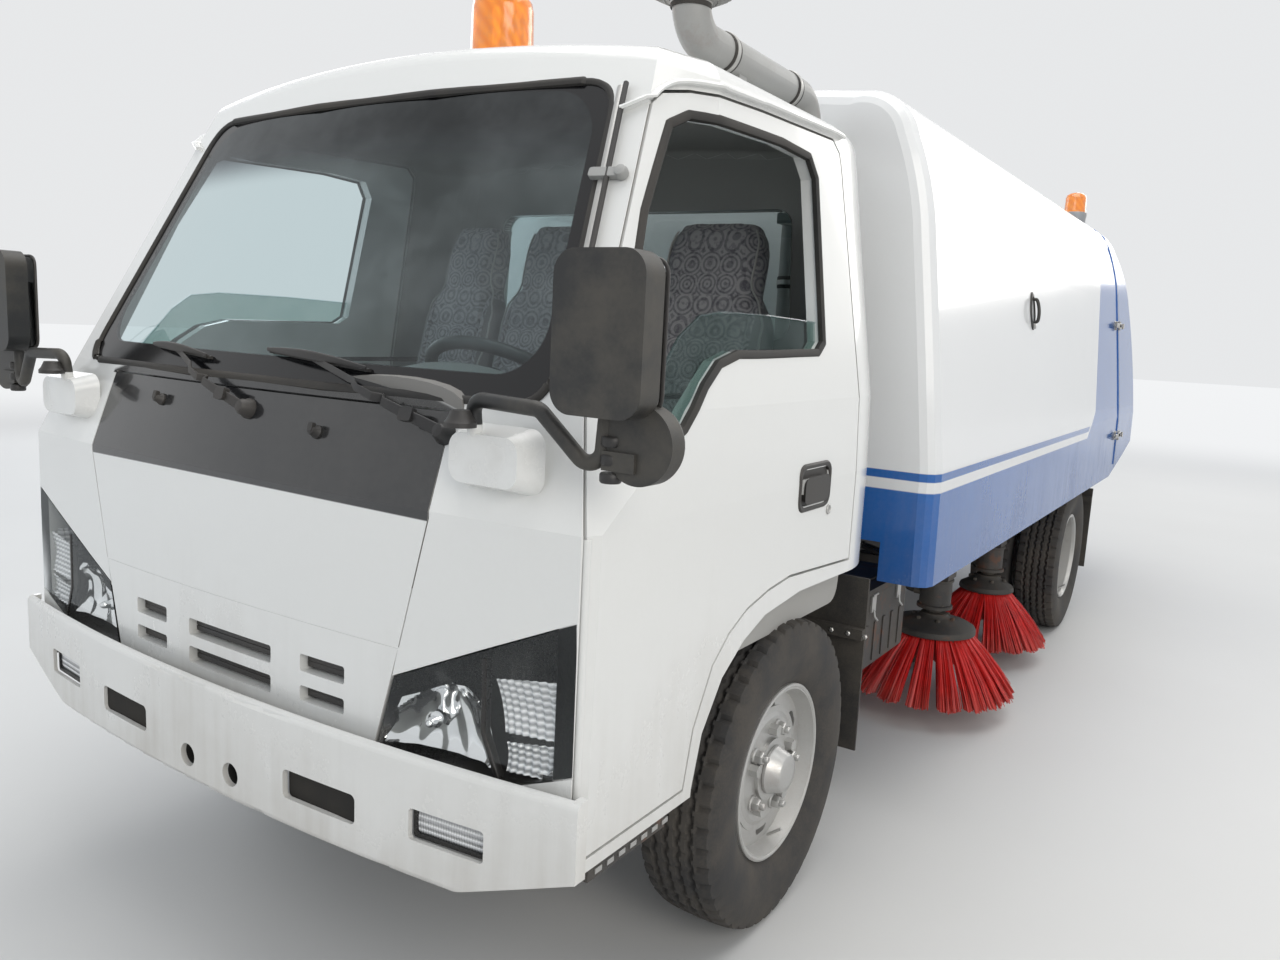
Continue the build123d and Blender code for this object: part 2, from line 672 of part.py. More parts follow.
# Front axle: a beam between kingpin eyes, the knuckles that turn on it, and their stub axles
beam_low = 330
beam_top = 410
kingpin_r = 15
eye_r = 34
with BuildPart() as front_axle_beam:
    with BuildSketch(Plane.YZ.offset(-kingpin_x)):
        with Locations((axle_f, (beam_low + beam_top) / 2)):
            Rectangle(70, beam_top - beam_low)
            Rectangle(70, beam_top - beam_low - 34, mode=Mode.SUBTRACT)
            Rectangle(18, beam_top - beam_low)
    extrude(amount=2 * kingpin_x)
    with BuildSketch(Plane.XY.offset(beam_low)):
        with Locations((-kingpin_x, axle_f), (kingpin_x, axle_f)):
            Circle(eye_r)
    extrude(amount=beam_top - beam_low)
    with BuildSketch(Plane.XY.offset(beam_low - 5)):
        with Locations((-kingpin_x, axle_f), (kingpin_x, axle_f)):
            Circle(kingpin_r + 0.05)
    extrude(amount=beam_top - beam_low + 10, mode=Mode.SUBTRACT)
    with Locations((0, axle_f, beam_top + 6)):
        with Locations((-395, 0, 0), (395, 0, 0)):
            Box(70, 90, 14)
save(front_axle_beam.part, "front_axle_beam")

yoke = 22
for side, hand in ((1, "left"), (-1, "right")):
    with BuildPart() as knuckle:
        with BuildSketch(Plane.XY.offset(beam_low - yoke - 1)):
            with Locations((side * kingpin_x, axle_f)):
                Circle(kingpin_r)
        extrude(amount=beam_top - beam_low + 2 * yoke + 2)
        for z in (beam_low - yoke - 0.5, beam_top + 0.5):
            with BuildSketch(Plane.XY.offset(z)):
                with Locations((side * kingpin_x, axle_f)):
                    Circle(eye_r)
            extrude(amount=yoke)
        with Locations((side * (kingpin_x + eye_r + 7), axle_f, (beam_low + beam_top) / 2)):
            Box(10, 60, beam_top - beam_low + 2 * yoke + 1)
        with BuildSketch(Plane(origin=(side * (kingpin_x + eye_r + 7), axle_f, tyre_r), z_dir=(side, 0, 0))):
            Circle(spindle_r)
        extrude(amount=66)
        for z in (beam_low - yoke / 2 - 0.5, beam_top + yoke / 2 + 0.5):
            with Locations((side * (kingpin_x + 22), axle_f, z)):
                Box(36, 60, yoke)
    save(knuckle.part, f"knuckle_{hand}")

# Rear axle: a tube with its differential housing, ending in the wheel spindles
axle_tube_r = 60
with BuildPart() as rear_axle:
    with BuildSketch(Plane(origin=(-500, axle_r, tyre_r), z_dir=(1, 0, 0))):
        Circle(axle_tube_r)
    extrude(amount=1000)
    with BuildSketch(Plane(origin=(-620, axle_r, tyre_r), z_dir=(1, 0, 0))):
        Circle(spindle_r + 20)
    extrude(amount=1240)
    with Locations((0, axle_r, tyre_r)):
        Sphere(135)
    with BuildSketch(Plane(origin=(0, axle_r, tyre_r + 20), z_dir=(0, -1, 0))):
        Circle(80)
    with BuildSketch(Plane(origin=(0, axle_r - 230, tyre_r + 20), z_dir=(0, -1, 0))):
        Circle(52)
    loft()
    with Locations((-395, axle_r, tyre_r + axle_tube_r), (395, axle_r, tyre_r + axle_tube_r)):
        Box(76, 110, 20)
save(rear_axle.part, "rear_axle")

# Leaf springs: axle y, half length, seat height, eye height, pack thickness
spring_x = 395
spring_w = 56
spring_rows = [(axle_f, 510, beam_top + 13.3, 500, 34), (axle_r, 620, tyre_r + axle_tube_r + 10.3, 560, 52)]
with BuildPart() as leaf_springs:
    for side in (-1, 1):
        for y, half, seat_z, eye_z, thick in spring_rows:
            with BuildSketch(Plane.YZ.offset(side * spring_x - spring_w / 2)):
                with BuildLine():
                    ThreePointArc((y - half, eye_z), (y, seat_z), (y + half, eye_z))
                    Line((y + half, eye_z), (y + half, eye_z + 14))
                    ThreePointArc((y + half, eye_z + 14), (y, seat_z + thick), (y - half, eye_z + 14))
                    Line((y - half, eye_z + 14), (y - half, eye_z))
                make_face()
                with Locations((y - half, eye_z + 7), (y + half, eye_z + 7)):
                    Circle(19)
            extrude(amount=spring_w)
save(leaf_springs.part, "leaf_springs")

# Tipping ram: the barrel's pivot on the frame and the rod's eye under the body, (y, z)
ram_base = (axle_f + 2740, rail_top - 30)
ram_eye = (axle_f + 3700, 790)
ram_pin_r = 14
body_pin_r = 20
rod_eye_r = 30
rod_eye_half = 31.7
ear_t = 12
tube_half_len = 268
tube_mid_x = 176
cab_rest_z = 862.5

# Ladder frame: channel rails, crossmembers, spring hangers, bumper brackets and sweeping gear brackets
cross_rows = [axle_f - 720, axle_f + 1160, axle_f + 1400, axle_f + 2640, axle_r + 640, rail_rear - 40]
with BuildPart() as frame_rails:
    for side in (-1, 1):
        with BuildSketch(Plane.XZ.offset(-rail_front)):
            with Locations((side * (rail_out - rail_w / 2), rail_top - rail_h / 2)):
                Rectangle(rail_w, rail_h)
            with Locations((side * (rail_out - rail_w / 2 - rail_wall), rail_top - rail_h / 2)):
                Rectangle(rail_w, rail_h - 2 * rail_wall, mode=Mode.SUBTRACT)
        extrude(amount=-(rail_rear - rail_front))
        bracket_len = rail_front - bumper_face - bumper_skin - 10.9
        with Locations((side * 336, rail_front, 535)):
            Box(44, bracket_len, 70, align=(Align.CENTER, Align.MAX, Align.CENTER))
        for y, half, seat_z, eye_z, thick in spring_rows:
            for end in (-1, 1):
                with BuildSketch(Plane.YZ.offset(side * rail_out if side > 0 else side * (rail_out + 75))):
                    with Locations((y + end * half, (eye_z + 26.3 + rail_top - 40) / 2)):
                        Rectangle(70, rail_top - 40 - eye_z - 26.3)
                extrude(amount=75)
    for y in cross_rows:
        with BuildSketch(Plane.YZ.offset(-(rail_out - rail_wall))):
            with Locations((y, rail_top - 70)):
                Rectangle(70, 90)
                Rectangle(54, 74, mode=Mode.SUBTRACT)
        extrude(amount=2 * (rail_out - rail_wall))
    for side in (-1, 1):
        with Locations((side * 350, rail_front + 2, rail_top + 15)):
            Box(20, 32, 45, align=(Align.CENTER, Align.MAX, Align.MAX))
        with Locations((side * 303, axle_f - 100, 570)):
            Box(104.7, 80, 60)
        with Locations((side * 330, axle_f + 460, rail_top - 4)):
            Box(60, 40, cab_rest_z - rail_top + 4, align=(Align.CENTER, Align.CENTER, Align.MIN))
        with BuildSketch(Plane.YZ.offset(side * 378 - 12)):
            with Locations((body_hinge_y, rail_top - 35)):
                Rectangle(70, 220)
            with Locations((body_hinge_y, body_hinge_z)):
                Circle(body_pin_r + 0.05, mode=Mode.SUBTRACT)
        extrude(amount=24)
        with Locations((side * 363, body_hinge_y, rail_top - 75)):
            Box(8, 70, 120)
        with Locations((side * 54, ram_base[0], ram_base[1])):
            Box(12, 2 * (ram_base[0] - axle_f - 2675), 60)
    with Locations((0, axle_f + 460, cab_rest_z - 12)):
        Box(660, 40, 24)
    for y, z, half, r in ((tilt_y, tilt_z, 392, tilt_pin_r), (ram_base[0], ram_base[1], 60, ram_pin_r)):
        with BuildSketch(Plane.YZ.offset(-half)):
            with Locations((y, z)):
                Circle(r)
        extrude(amount=2 * half)
save(frame_rails.part, "frame_rails")

with BuildPart() as rear_bar:
    with Locations((0, rail_rear + 60, 470)):
        Box(1640, 60, 90)
    for side in (-1, 1):
        with Locations((side * 330, rail_rear + 20, 560)):
            Box(40, 40, 230)
save(rear_bar.part, "rear_bar")

tail_lamp_x = 690
with BuildPart() as tail_lamps:
    for side in (-1, 1):
        with Locations((side * tail_lamp_x, rail_rear + 60 + 30 + 20.3, 470)):
            Box(240, 40, 80)
save(tail_lamps.part, "tail_lamps")

# Engine and gearbox under the cab, propeller shaft to the rear axle
with BuildPart() as engine_block:
    with Locations((0, axle_f + 20, 630)):
        Box(500, 820, 400)
    chamfer(engine_block.edges().filter_by(Axis.Y).group_by(Axis.Z)[0], 60)
save(engine_block.part, "engine_block")
with BuildPart() as drive_shaft:
    with BuildSketch(Plane.XZ.offset(-(axle_f + 430.3))):
        with Locations((0, 560)):
            Circle(165)
    with BuildSketch(Plane.XZ.offset(-(axle_f + 900))):
        with Locations((0, 545)):
            Circle(80)
    loft()
    shaft_a = Vector(0, axle_f + 900, 545)
    shaft_b = Vector(0, axle_r - 230.3, tyre_r + 20)
    with BuildSketch(Plane(origin=shaft_a, z_dir=shaft_b - shaft_a)):
        Circle(38)
    extrude(amount=(shaft_b - shaft_a).length - 2.4)
save(drive_shaft.part, "drive_shaft")

# Side boxes on the frame: fuel tank on the right, battery box on the left
tank_bracket = 20
with BuildPart() as fuel_tank:
    with BuildSketch(Plane.XZ.offset(-(axle_f + 720))) as tank_face:
        with Locations((-(rail_out + tank_bracket + 200), 520)):
            RectangleRounded(400, 300, 60)
    extrude(amount=-560)
    for y in (axle_f + 820, axle_f + 1180):
        with Locations((-(rail_out + tank_bracket / 2), y, 560)):
            Box(tank_bracket - 0.6, 60, 180)
save(fuel_tank.part, "fuel_tank")
with BuildPart() as battery_box:
    with BuildSketch(Plane.XZ.offset(-(axle_f + 730))):
        with Locations((rail_out + tank_bracket + 185, 540)):
            RectangleRounded(370, 260, 18)
    extrude(amount=-420)
    for y in (axle_f + 800, axle_f + 1080):
        with Locations((rail_out + tank_bracket / 2, y, 580)):
            Box(tank_bracket - 0.6, 50, 150)
save(battery_box.part, "battery_box")

# Mud flaps on stays from the frame. Columns: y, inner x, outer x, low z, high z
flap_rows = [(axle_f + 462, 560, 860, 290, 800), (axle_r + 470, 500, 930, 250, 700)]
flap_t = 8
with BuildPart() as mud_flaps:
    for side in (-1, 1):
        for y, x_in, x_out, low, high in flap_rows:
            with Locations((side * (x_in + x_out) / 2, y, (low + high) / 2)):
                Box(x_out - x_in, flap_t, high - low)
            with Locations((side * (rail_out + 0.3 + x_out) / 2, y - 16, 640)):
                Box(x_out - rail_out - 0.3, 24, 30)
save(mud_flaps.part, "mud_flaps")

# Sweeper body: a housing with outward leaning sides, a rounded roof and an open back
side_low = 955
side_mid = 950
band_z = 1090
tail_bottom_y = axle_f + 4170
roof_start = axle_f + 4300


# The rounded nose of the housing: distance behind the front face, and how far it is drawn in
nose_rows = [(0, 50), (7, 28), (22, 10), (55, 0)]


def body_section(plane, inset, low):
    """The housing's section from a low edge up, drawn in by an inset."""
    haunch_x = 738 - inset * 0.8
    haunch_z = 2148 - inset * 0.5
    crown_x = 616 - inset * 0.6
    crown_z = 2195 - inset
    with BuildSketch(plane) as section:
        with BuildLine():
            Line((-side_low + inset, low), (side_low - inset, low))
            Line((side_low - inset, low), (side_mid - inset, band_z))
            ThreePointArc((side_mid - inset, band_z), (914 - inset, 1400), (868 - inset, 1754))
            ThreePointArc((868 - inset, 1754), (838 - inset, 1920), (790 - inset, 2060))
            ThreePointArc((790 - inset, 2060), (haunch_x, haunch_z), (crown_x, crown_z))
            ThreePointArc((crown_x, crown_z), (0, 2228 - inset), (-crown_x, crown_z))
            ThreePointArc((-crown_x, crown_z), (-haunch_x, haunch_z), (-790 + inset, 2060))
            ThreePointArc((-790 + inset, 2060), (-838 + inset, 1920), (-868 + inset, 1754))
            ThreePointArc((-868 + inset, 1754), (-914 + inset, 1400), (-side_mid + inset, band_z))
            Line((-side_mid + inset, band_z), (-side_low + inset, low))
        make_face()
    return section.sketch


def body_form(inset):
    """The whole closed body, nose to tail, drawn in by an inset."""
    with BuildPart() as form:
        straight_from = nose_rows[-1][0] if inset == 0 else inset
        if inset == 0:
            for back, narrow in nose_rows:
                add(body_section(Plane.XZ.offset(-(body_front + back)), narrow, body_low))
            loft(ruled=True)
        add(body_section(Plane.XZ.offset(-(body_front + straight_from)), inset, body_low))
        extrude(amount=tail - body_front - inset - straight_from, dir=(0, 1, 0))
        with BuildSketch(Plane.YZ.offset(-1100)):
            with BuildLine():
                Polyline((roof_start, 2400), (body_front - 50, 2400), (body_front - 50, body_low),
                         (tail_bottom_y, body_low), (axle_f + 4653, 829 + inset * 0.3),
                         (tail - inset, 897 + inset), (tail - inset, 1100))
                ThreePointArc((tail - inset, 1100), (axle_f + 4805 - inset, 1760 - inset * 0.4),
                              (roof_start, 2232 - inset))
                Line((roof_start, 2232 - inset), (roof_start, 2400))
            make_face()
        extrude(amount=2200, mode=Mode.INTERSECT)
    return form.part


body_outer = body_form(0)
body_inner = body_form(body_wall)
door_hinge_z = 2246
door_hinge_x = (-400, 400)
hinge_pin_r = 8
door_gap = 6
with BuildPart() as body_housing:
    add(body_outer)
    with BuildPart(mode=Mode.PRIVATE) as hopper_space:
        add(body_inner)
        with Locations((0, 0, body_floor)):
            Box(2200, 7000, 2000, align=(Align.CENTER, Align.CENTER, Align.MIN), mode=Mode.INTERSECT)
    add(hopper_space.part, mode=Mode.SUBTRACT)
    with BuildPart(mode=Mode.PRIVATE) as skirt_space:
        add(body_inner)
        with Locations((0, 0, body_floor_low)):
            Box(2200, 7000, 2000, align=(Align.CENTER, Align.CENTER, Align.MAX), mode=Mode.INTERSECT)
        with Locations((0, body_front - 100, body_floor_low)):
            Box(1600, door_split - body_front + 100 - 30, 300, align=(Align.CENTER, Align.MIN, Align.MAX))
    add(skirt_space.part, mode=Mode.SUBTRACT)
    split(bisect_by=Plane.XZ.offset(-door_split), keep=Keep.TOP)
    for x in door_hinge_x:
        for ear in (-1, 1):
            with BuildSketch(Plane.YZ.offset(x + ear * 42 - 8)):
                with BuildLine():
                    Polyline([(door_split - 60, 2190), (door_split - 1, 2190), (door_split - 1, 2220),
                              (door_split + 20, door_hinge_z), (door_split + 3, door_hinge_z + 18),
                              (door_split - 20, door_hinge_z + 6)], close=True)
                make_face()
            extrude(amount=16)
        with BuildSketch(Plane.YZ.offset(x - 50)):
            with Locations((door_split + 3, door_hinge_z)):
                Circle(hinge_pin_r)
        extrude(amount=100)
save(body_housing.part, "body_housing")

with BuildPart() as rear_door:
    add(body_outer)
    add(body_inner, mode=Mode.SUBTRACT)
    split(bisect_by=Plane.XZ.offset(-(door_split + door_gap)), keep=Keep.BOTTOM)
    for x in door_hinge_x:
        with BuildSketch(Plane.YZ.offset(x - 30)):
            with BuildLine():
                Polyline([(door_split + 8, 2190), (door_split + 80, 2190), (door_split + 80, 2225),
                          (door_split + 22, door_hinge_z + 8), (door_split + 3, door_hinge_z + 18),
                          (door_split - 14, door_hinge_z), (door_split + 8, door_hinge_z - 20)], close=True)
            make_face()
            with Locations((door_split + 3, door_hinge_z)):
                Circle(hinge_pin_r + 0.05, mode=Mode.SUBTRACT)
        extrude(amount=60)
save(rear_door.part, "rear_door")

# Small beacon on a stalk at the roof's rear corner
small_beacon_y = axle_f + 4180
small_beacon_x = 600
with BuildPart() as body_beacon:
    with BuildSketch(Plane.XZ.offset(-small_beacon_y)):
        with BuildLine():
            Polyline((small_beacon_x, 2190), (small_beacon_x + 62, 2190), (small_beacon_x + 66, 2262),
                     (small_beacon_x + 60, 2275), (small_beacon_x + 56, 2350))
            ThreePointArc((small_beacon_x + 56, 2350), (small_beacon_x + 38, 2371),
                          (small_beacon_x + 8, 2378))
            Polyline((small_beacon_x + 8, 2378), (small_beacon_x, 2378), (small_beacon_x, 2190))
        make_face()
    revolve(axis=Axis((small_beacon_x, small_beacon_y, 0), (0, 0, 1)))
    add(body_outer, mode=Mode.SUBTRACT)
save(body_beacon.part, "body_beacon")

# Tipping subframe under the body floor, with the hinge ears and the ram's cross tube
with BuildPart() as body_subframe:
    for side in (-1, 1):
        with Locations((side * 330, body_hinge_y, body_floor_low - 0.3)):
            Box(60, body_hinge_y - body_front - 80, body_floor_low - rail_top - 0.6,
                align=(Align.CENTER, Align.MAX, Align.MAX))
    with BuildSketch(Plane(origin=(-396, body_hinge_y, body_hinge_z), z_dir=(1, 0, 0))):
        Circle(body_pin_r)
    extrude(amount=792)
    for y in (axle_f + 900, axle_f + 1800, axle_f + 2500, axle_f + 3860, axle_f + 4100):
        with Locations((0, y, 825)):
            Box(620, 60, 69)
    for side in (-1, 1):
        with Locations((side * (rod_eye_half + 0.3 + ear_t / 2), ram_eye[0] - 34, 858)):
            Box(ear_t, 180, 96, align=(Align.CENTER, Align.MIN, Align.MAX))
        with Locations((side * tube_mid_x, ram_eye[0], ram_eye[1])):
            Cylinder(body_pin_r, tube_half_len, rotation=(0, 90, 0))
save(body_subframe.part, "body_subframe")

# Tipping ram: a barrel pivoted on the frame crossmember and a rod that reaches the cross tube
ram_dir = Vector(0, ram_eye[0] - ram_base[0], ram_eye[1] - ram_base[1])
ram_len = ram_dir.length
ram_r = 40
with BuildPart() as ram_barrel:
    with BuildSketch(Plane(origin=(0, ram_base[0], ram_base[1]) + ram_dir.normalized() * 60, z_dir=ram_dir)):
        Circle(ram_r)
        Circle(25.05, mode=Mode.SUBTRACT)
    extrude(amount=ram_len - 160)
    with BuildSketch(Plane(origin=(0, ram_base[0], ram_base[1]) + ram_dir.normalized() * 40, z_dir=ram_dir)):
        Circle(ram_r)
    extrude(amount=30)
    with BuildSketch(Plane(origin=(-36, ram_base[0], ram_base[1]), z_dir=(1, 0, 0))):
        Circle(ram_pin_r + 14)
    extrude(amount=72)
    with BuildSketch(Plane(origin=(0, ram_base[0], ram_base[1]), z_dir=ram_dir)):
        Rectangle(40, 40)
    extrude(amount=50)
    with BuildSketch(Plane(origin=(-40, ram_base[0], ram_base[1]), z_dir=(1, 0, 0))):
        Circle(ram_pin_r + 0.05)
    extrude(amount=80, mode=Mode.SUBTRACT)
save(ram_barrel.part, "ram_barrel")
with BuildPart() as ram_rod:
    with BuildSketch(Plane(origin=(0, ram_base[0], ram_base[1]) + ram_dir.normalized() * 110, z_dir=ram_dir)):
        Circle(25)
    extrude(amount=ram_len - 110)
    with Locations((0, ram_eye[0], ram_eye[1])):
        Cylinder(rod_eye_r, 2 * rod_eye_half, rotation=(0, 90, 0))
save(ram_rod.part, "ram_rod")

# Brushes: a hub disc with splayed bristle bundles. Columns: name, x, y from the front axle, tip radius
brush_x = 690
brush_low = 82
hub_z = 322
hub_h = 46
bundle_top_r = 15
bundle_tip_r = 27
brush_rows = [("brush_front", 1743, 345, 18), ("brush_rear", 2590, 300, 16)]
shaft_r = 22
motor_low = hub_z + hub_h + 44
for side, hand in ((1, "left"), (-1, "right")):
    for name, y_off, tip_r, count in brush_rows:
        y = axle_f + y_off
        root_r = tip_r - 205
        splay = degrees(atan2(tip_r - bundle_tip_r - root_r, hub_z + 10 - brush_low))
        reach = hypot(tip_r - bundle_tip_r - root_r, hub_z + 10 - brush_low)
        with BuildPart() as brush:
            with BuildSketch(Plane.XY.offset(hub_z)):
                with Locations((side * brush_x, y)):
                    Circle(root_r + 30)
            extrude(amount=hub_h - 16)
            with BuildSketch(Plane.XY.offset(hub_z)):
                with Locations((side * brush_x, y)):
                    Circle(52)
            extrude(amount=hub_h + 24)
            with BuildSketch(Plane.XY.offset(hub_z + 30)):
                with Locations((side * brush_x, y)):
                    Circle(shaft_r + 0.05)
            extrude(amount=80, mode=Mode.SUBTRACT)
            for k in range(count):
                turn = 2 * pi * k / count
                radial = Vector(cos(turn), sin(turn), 0)
                down = (radial * sin(radians(splay)) - Vector(0, 0, cos(radians(splay)))).normalized()
                start = Vector(side * brush_x, y, hub_z + 14) + radial * root_r
                with BuildSketch(Plane(origin=start, z_dir=down)):
                    Circle(bundle_top_r)
                with BuildSketch(Plane(origin=start + down * reach, z_dir=down)):
                    Circle(bundle_tip_r)
                loft()
        save(brush.part, f"{name}_{hand}")

# Brush carriers: a tube out from each rail, a motor over each hub, and its shaft
with BuildPart() as brush_carriers:
    for side in (-1, 1):
        for name, y_off, tip_r, count in brush_rows:
            y = axle_f + y_off
            with BuildSketch(Plane.XY.offset(motor_low)):
                with Locations((side * brush_x, y)):
                    Circle(62)
            extrude(amount=130)
            with BuildSketch(Plane.XY.offset(hub_z + 34)):
                with Locations((side * brush_x, y)):
                    Circle(shaft_r)
            extrude(amount=motor_low - hub_z - 33)
            with Locations((side * (rail_out + 0.3 + brush_x) / 2, y, motor_low + 150)):
                Box(brush_x - rail_out - 0.3, 70, 50)
            with Locations((side * brush_x, y, motor_low + 150)):
                Box(120, 110, 50)
save(brush_carriers.part, "brush_carriers")

# Suction nozzle: a shallow open box with skids and a duct up between the rails
nozzle_y = axle_f + 2190
nozzle_half = 560
duct_x = -180
with BuildPart() as suction_nozzle:
    with Locations((0, nozzle_y, 40)):
        Box(2 * nozzle_half, 164, 110, align=(Align.CENTER, Align.CENTER, Align.MIN))
    with Locations((0, nozzle_y, 39)):
        Box(2 * nozzle_half - 16, 148, 103, align=(Align.CENTER, Align.CENTER, Align.MIN), mode=Mode.SUBTRACT)
    with BuildSketch(Plane.XY.offset(148)):
        with Locations((duct_x, nozzle_y)):
            Circle(76)
    extrude(amount=700)
    with BuildSketch(Plane.XY.offset(130)):
        with Locations((duct_x, nozzle_y)):
            Circle(68)
    extrude(amount=730, mode=Mode.SUBTRACT)
    for side in (-1, 1):
        with Locations((side * 250, nozzle_y, 148)):
            Box(24, 30, 600, align=(Align.CENTER, Align.CENTER, Align.MIN))
        with Locations((side * 300.3, nozzle_y, 620)):
            Box(102.8, 30, 60)
save(suction_nozzle.part, "suction_nozzle")
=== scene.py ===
# %% [markdown]
# A light cab-over truck with a street sweeper body, dressed for a studio picture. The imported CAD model
# is loaded first and stays where it is: it gives every size and place. On top of it come finishes, which
# are node materials, and modelled pieces, such as tyre treads, bristles, seats and lamp insides, that are
# too fine or too soft for the CAD model. All lengths are metres; the front faces -Y and +Z is up.

# %% Load the frame
import math
import random

import bmesh
import bpy
import numpy as np
from mathutils import Matrix, Vector
from mathutils.bvhtree import BVHTree


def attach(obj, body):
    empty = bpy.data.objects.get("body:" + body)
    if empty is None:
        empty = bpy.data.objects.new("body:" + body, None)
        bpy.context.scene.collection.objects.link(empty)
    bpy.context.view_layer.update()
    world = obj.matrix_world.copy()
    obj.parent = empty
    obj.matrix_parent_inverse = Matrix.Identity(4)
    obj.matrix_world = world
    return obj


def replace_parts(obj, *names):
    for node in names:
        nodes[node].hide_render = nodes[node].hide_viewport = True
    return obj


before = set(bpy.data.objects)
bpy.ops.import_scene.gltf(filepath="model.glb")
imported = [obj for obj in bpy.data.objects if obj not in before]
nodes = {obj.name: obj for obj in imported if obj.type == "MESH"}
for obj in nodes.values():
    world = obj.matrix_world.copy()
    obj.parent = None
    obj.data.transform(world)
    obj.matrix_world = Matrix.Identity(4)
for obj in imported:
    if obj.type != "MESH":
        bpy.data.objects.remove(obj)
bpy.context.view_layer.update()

# %% [markdown]
# The camera stands where the photographer stood. Its place, yaw, pitch and roll were worked out once
# from the wheels and the straight edges of the cab, so they are written as plain numbers here.

# %% Camera
camera_place = Vector((1.769, -4.123, 1.462))
camera_yaw = math.radians(33.08)
camera_pitch = math.radians(-8.78)
camera_roll = math.radians(2.91)
camera_data = bpy.data.cameras.new("camera")
camera_data.lens = 27.49
camera_data.sensor_width = 36
camera = bpy.data.objects.new("camera", camera_data)
bpy.context.scene.collection.objects.link(camera)
aim = Matrix.Rotation(camera_yaw, 4, "Z") @ Matrix.Rotation(math.pi / 2 + camera_pitch, 4, "X")
camera.matrix_world = Matrix.Translation(camera_place) @ aim @ Matrix.Rotation(camera_roll, 4, "Z")
bpy.context.scene.camera = camera
print("camera height", round(camera_place.z, 2))

# %% [markdown]
# A vehicle is lit in a studio by a few very large soft boxes, because small lamps would show as hard dots
# in its glossy panels. One box hangs over the truck, one stands at each front corner, and two light the
# tail and the right side. The front right one isn't seen in glossy panels, where its outline would show.
# The floor is a plain pale sheet, and the sky that the camera and the glossy panels see is pale too.

# %% Stage
scene = bpy.context.scene
scene.view_settings.view_transform = "Standard"
floor_mesh = bpy.data.meshes.new("floor")
floor_mesh.from_pydata([(-60, -60, 0), (60, -60, 0), (60, 60, 0), (-60, 60, 0)], [], [(0, 1, 2, 3)])
floor = bpy.data.objects.new("floor", floor_mesh)
scene.collection.objects.link(floor)
world = bpy.data.worlds.new("studio")
world.use_nodes = True
scene.world = world
sky = world.node_tree
sky_pale = (0.80, 0.81, 0.82, 1.0)
ambient = sky.nodes["Background"]
ambient.inputs["Color"].default_value = (0.86, 0.92, 1.0, 1.0)
ambient.inputs["Strength"].default_value = 0.50
seen = sky.nodes.new("ShaderNodeBackground")
seen.inputs["Color"].default_value = sky_pale
rays = sky.nodes.new("ShaderNodeLightPath")
watched = sky.nodes.new("ShaderNodeMath")
watched.operation = "MAXIMUM"
either = sky.nodes.new("ShaderNodeMath")
either.operation = "MAXIMUM"
choice = sky.nodes.new("ShaderNodeMixShader")
sky.links.new(rays.outputs["Is Camera Ray"], watched.inputs[0])
sky.links.new(rays.outputs["Is Glossy Ray"], watched.inputs[1])
sky.links.new(watched.outputs[0], either.inputs[0])
sky.links.new(rays.outputs["Is Transmission Ray"], either.inputs[1])
sky.links.new(either.outputs[0], choice.inputs[0])
sky.links.new(ambient.outputs[0], choice.inputs[1])
sky.links.new(seen.outputs[0], choice.inputs[2])
sky.links.new(choice.outputs[0], sky.nodes["World Output"].inputs[0])

lamps = [("over", (0.5, -0.5, 7.0), (0.0, 0.0, 1.0), 7.0, 370, (1.0, 0.98, 0.95)),
         ("front_left", (7.5, -6.0, 4.5), (0.0, -1.0, 1.2), 5.0, 290, (1.0, 0.95, 0.88)),
         ("front_right", (-6.5, -7.5, 4.0), (0.0, -1.5, 1.2), 5.0, 205, (0.90, 0.95, 1.0)),
         ("tail", (2.0, 9.0, 5.0), (0.0, 1.5, 1.2), 5.0, 195, (1.0, 0.97, 0.93)),
         ("side_right", (-9.0, 2.5, 4.0), (0.0, 0.5, 1.0), 5.0, 150, (0.95, 0.97, 1.0))]
for name, place, look_at, size, power, colour in lamps:
    lamp_data = bpy.data.lights.new(name, "AREA")
    lamp_data.size = size
    lamp_data.energy = power
    lamp_data.color = colour
    lamp = bpy.data.objects.new(name, lamp_data)
    way = Vector(look_at) - Vector(place)
    lamp.matrix_world = Matrix.Translation(place) @ way.to_track_quat("-Z", "Y").to_matrix().to_4x4()
    lamp.visible_glossy = name != "front_right"
    scene.collection.objects.link(lamp)
print("lamps", len(lamps))

# %% [markdown]
# A finish is a Principled shader fed by a few nodes. Writing shader maths as node links is slow to read,
# so a small class wraps a socket and turns Python operators into Math nodes: 1 - mask * 0.5 builds two
# nodes. Colours go through Mix nodes instead, because a Math node would turn them grey.


# %% Shader arithmetic
class Value:
    """A number in a shader, which can be used in plain arithmetic."""

    def __init__(self, finish, socket):
        self.finish = finish
        self.socket = socket

    def math(self, operation, *others):
        return self.finish.node("Math", {"operation": operation}, [self, *others])

    def __add__(self, other):
        return self.math("ADD", other)

    def __sub__(self, other):
        return self.math("SUBTRACT", other)

    def __rsub__(self, other):
        return self.finish.node("Math", {"operation": "SUBTRACT"}, [other, self])

    def __mul__(self, other):
        return self.math("MULTIPLY", other)

    def __truediv__(self, other):
        return self.math("DIVIDE", other)

    def __pow__(self, other):
        return self.math("POWER", other)

    def __neg__(self):
        return self.math("MULTIPLY", -1.0)

    __radd__ = __add__
    __rmul__ = __mul__

    def above(self, edge, soft=0.001):
        """1 where the value is above an edge, 0 below, with a soft step between."""
        return self.finish.node("MapRange", {"interpolation_type": "SMOOTHSTEP"},
                                {"Value": self, "From Min": edge - soft, "From Max": edge + soft})

    def either(self, other):
        return self.math("MAXIMUM", other)


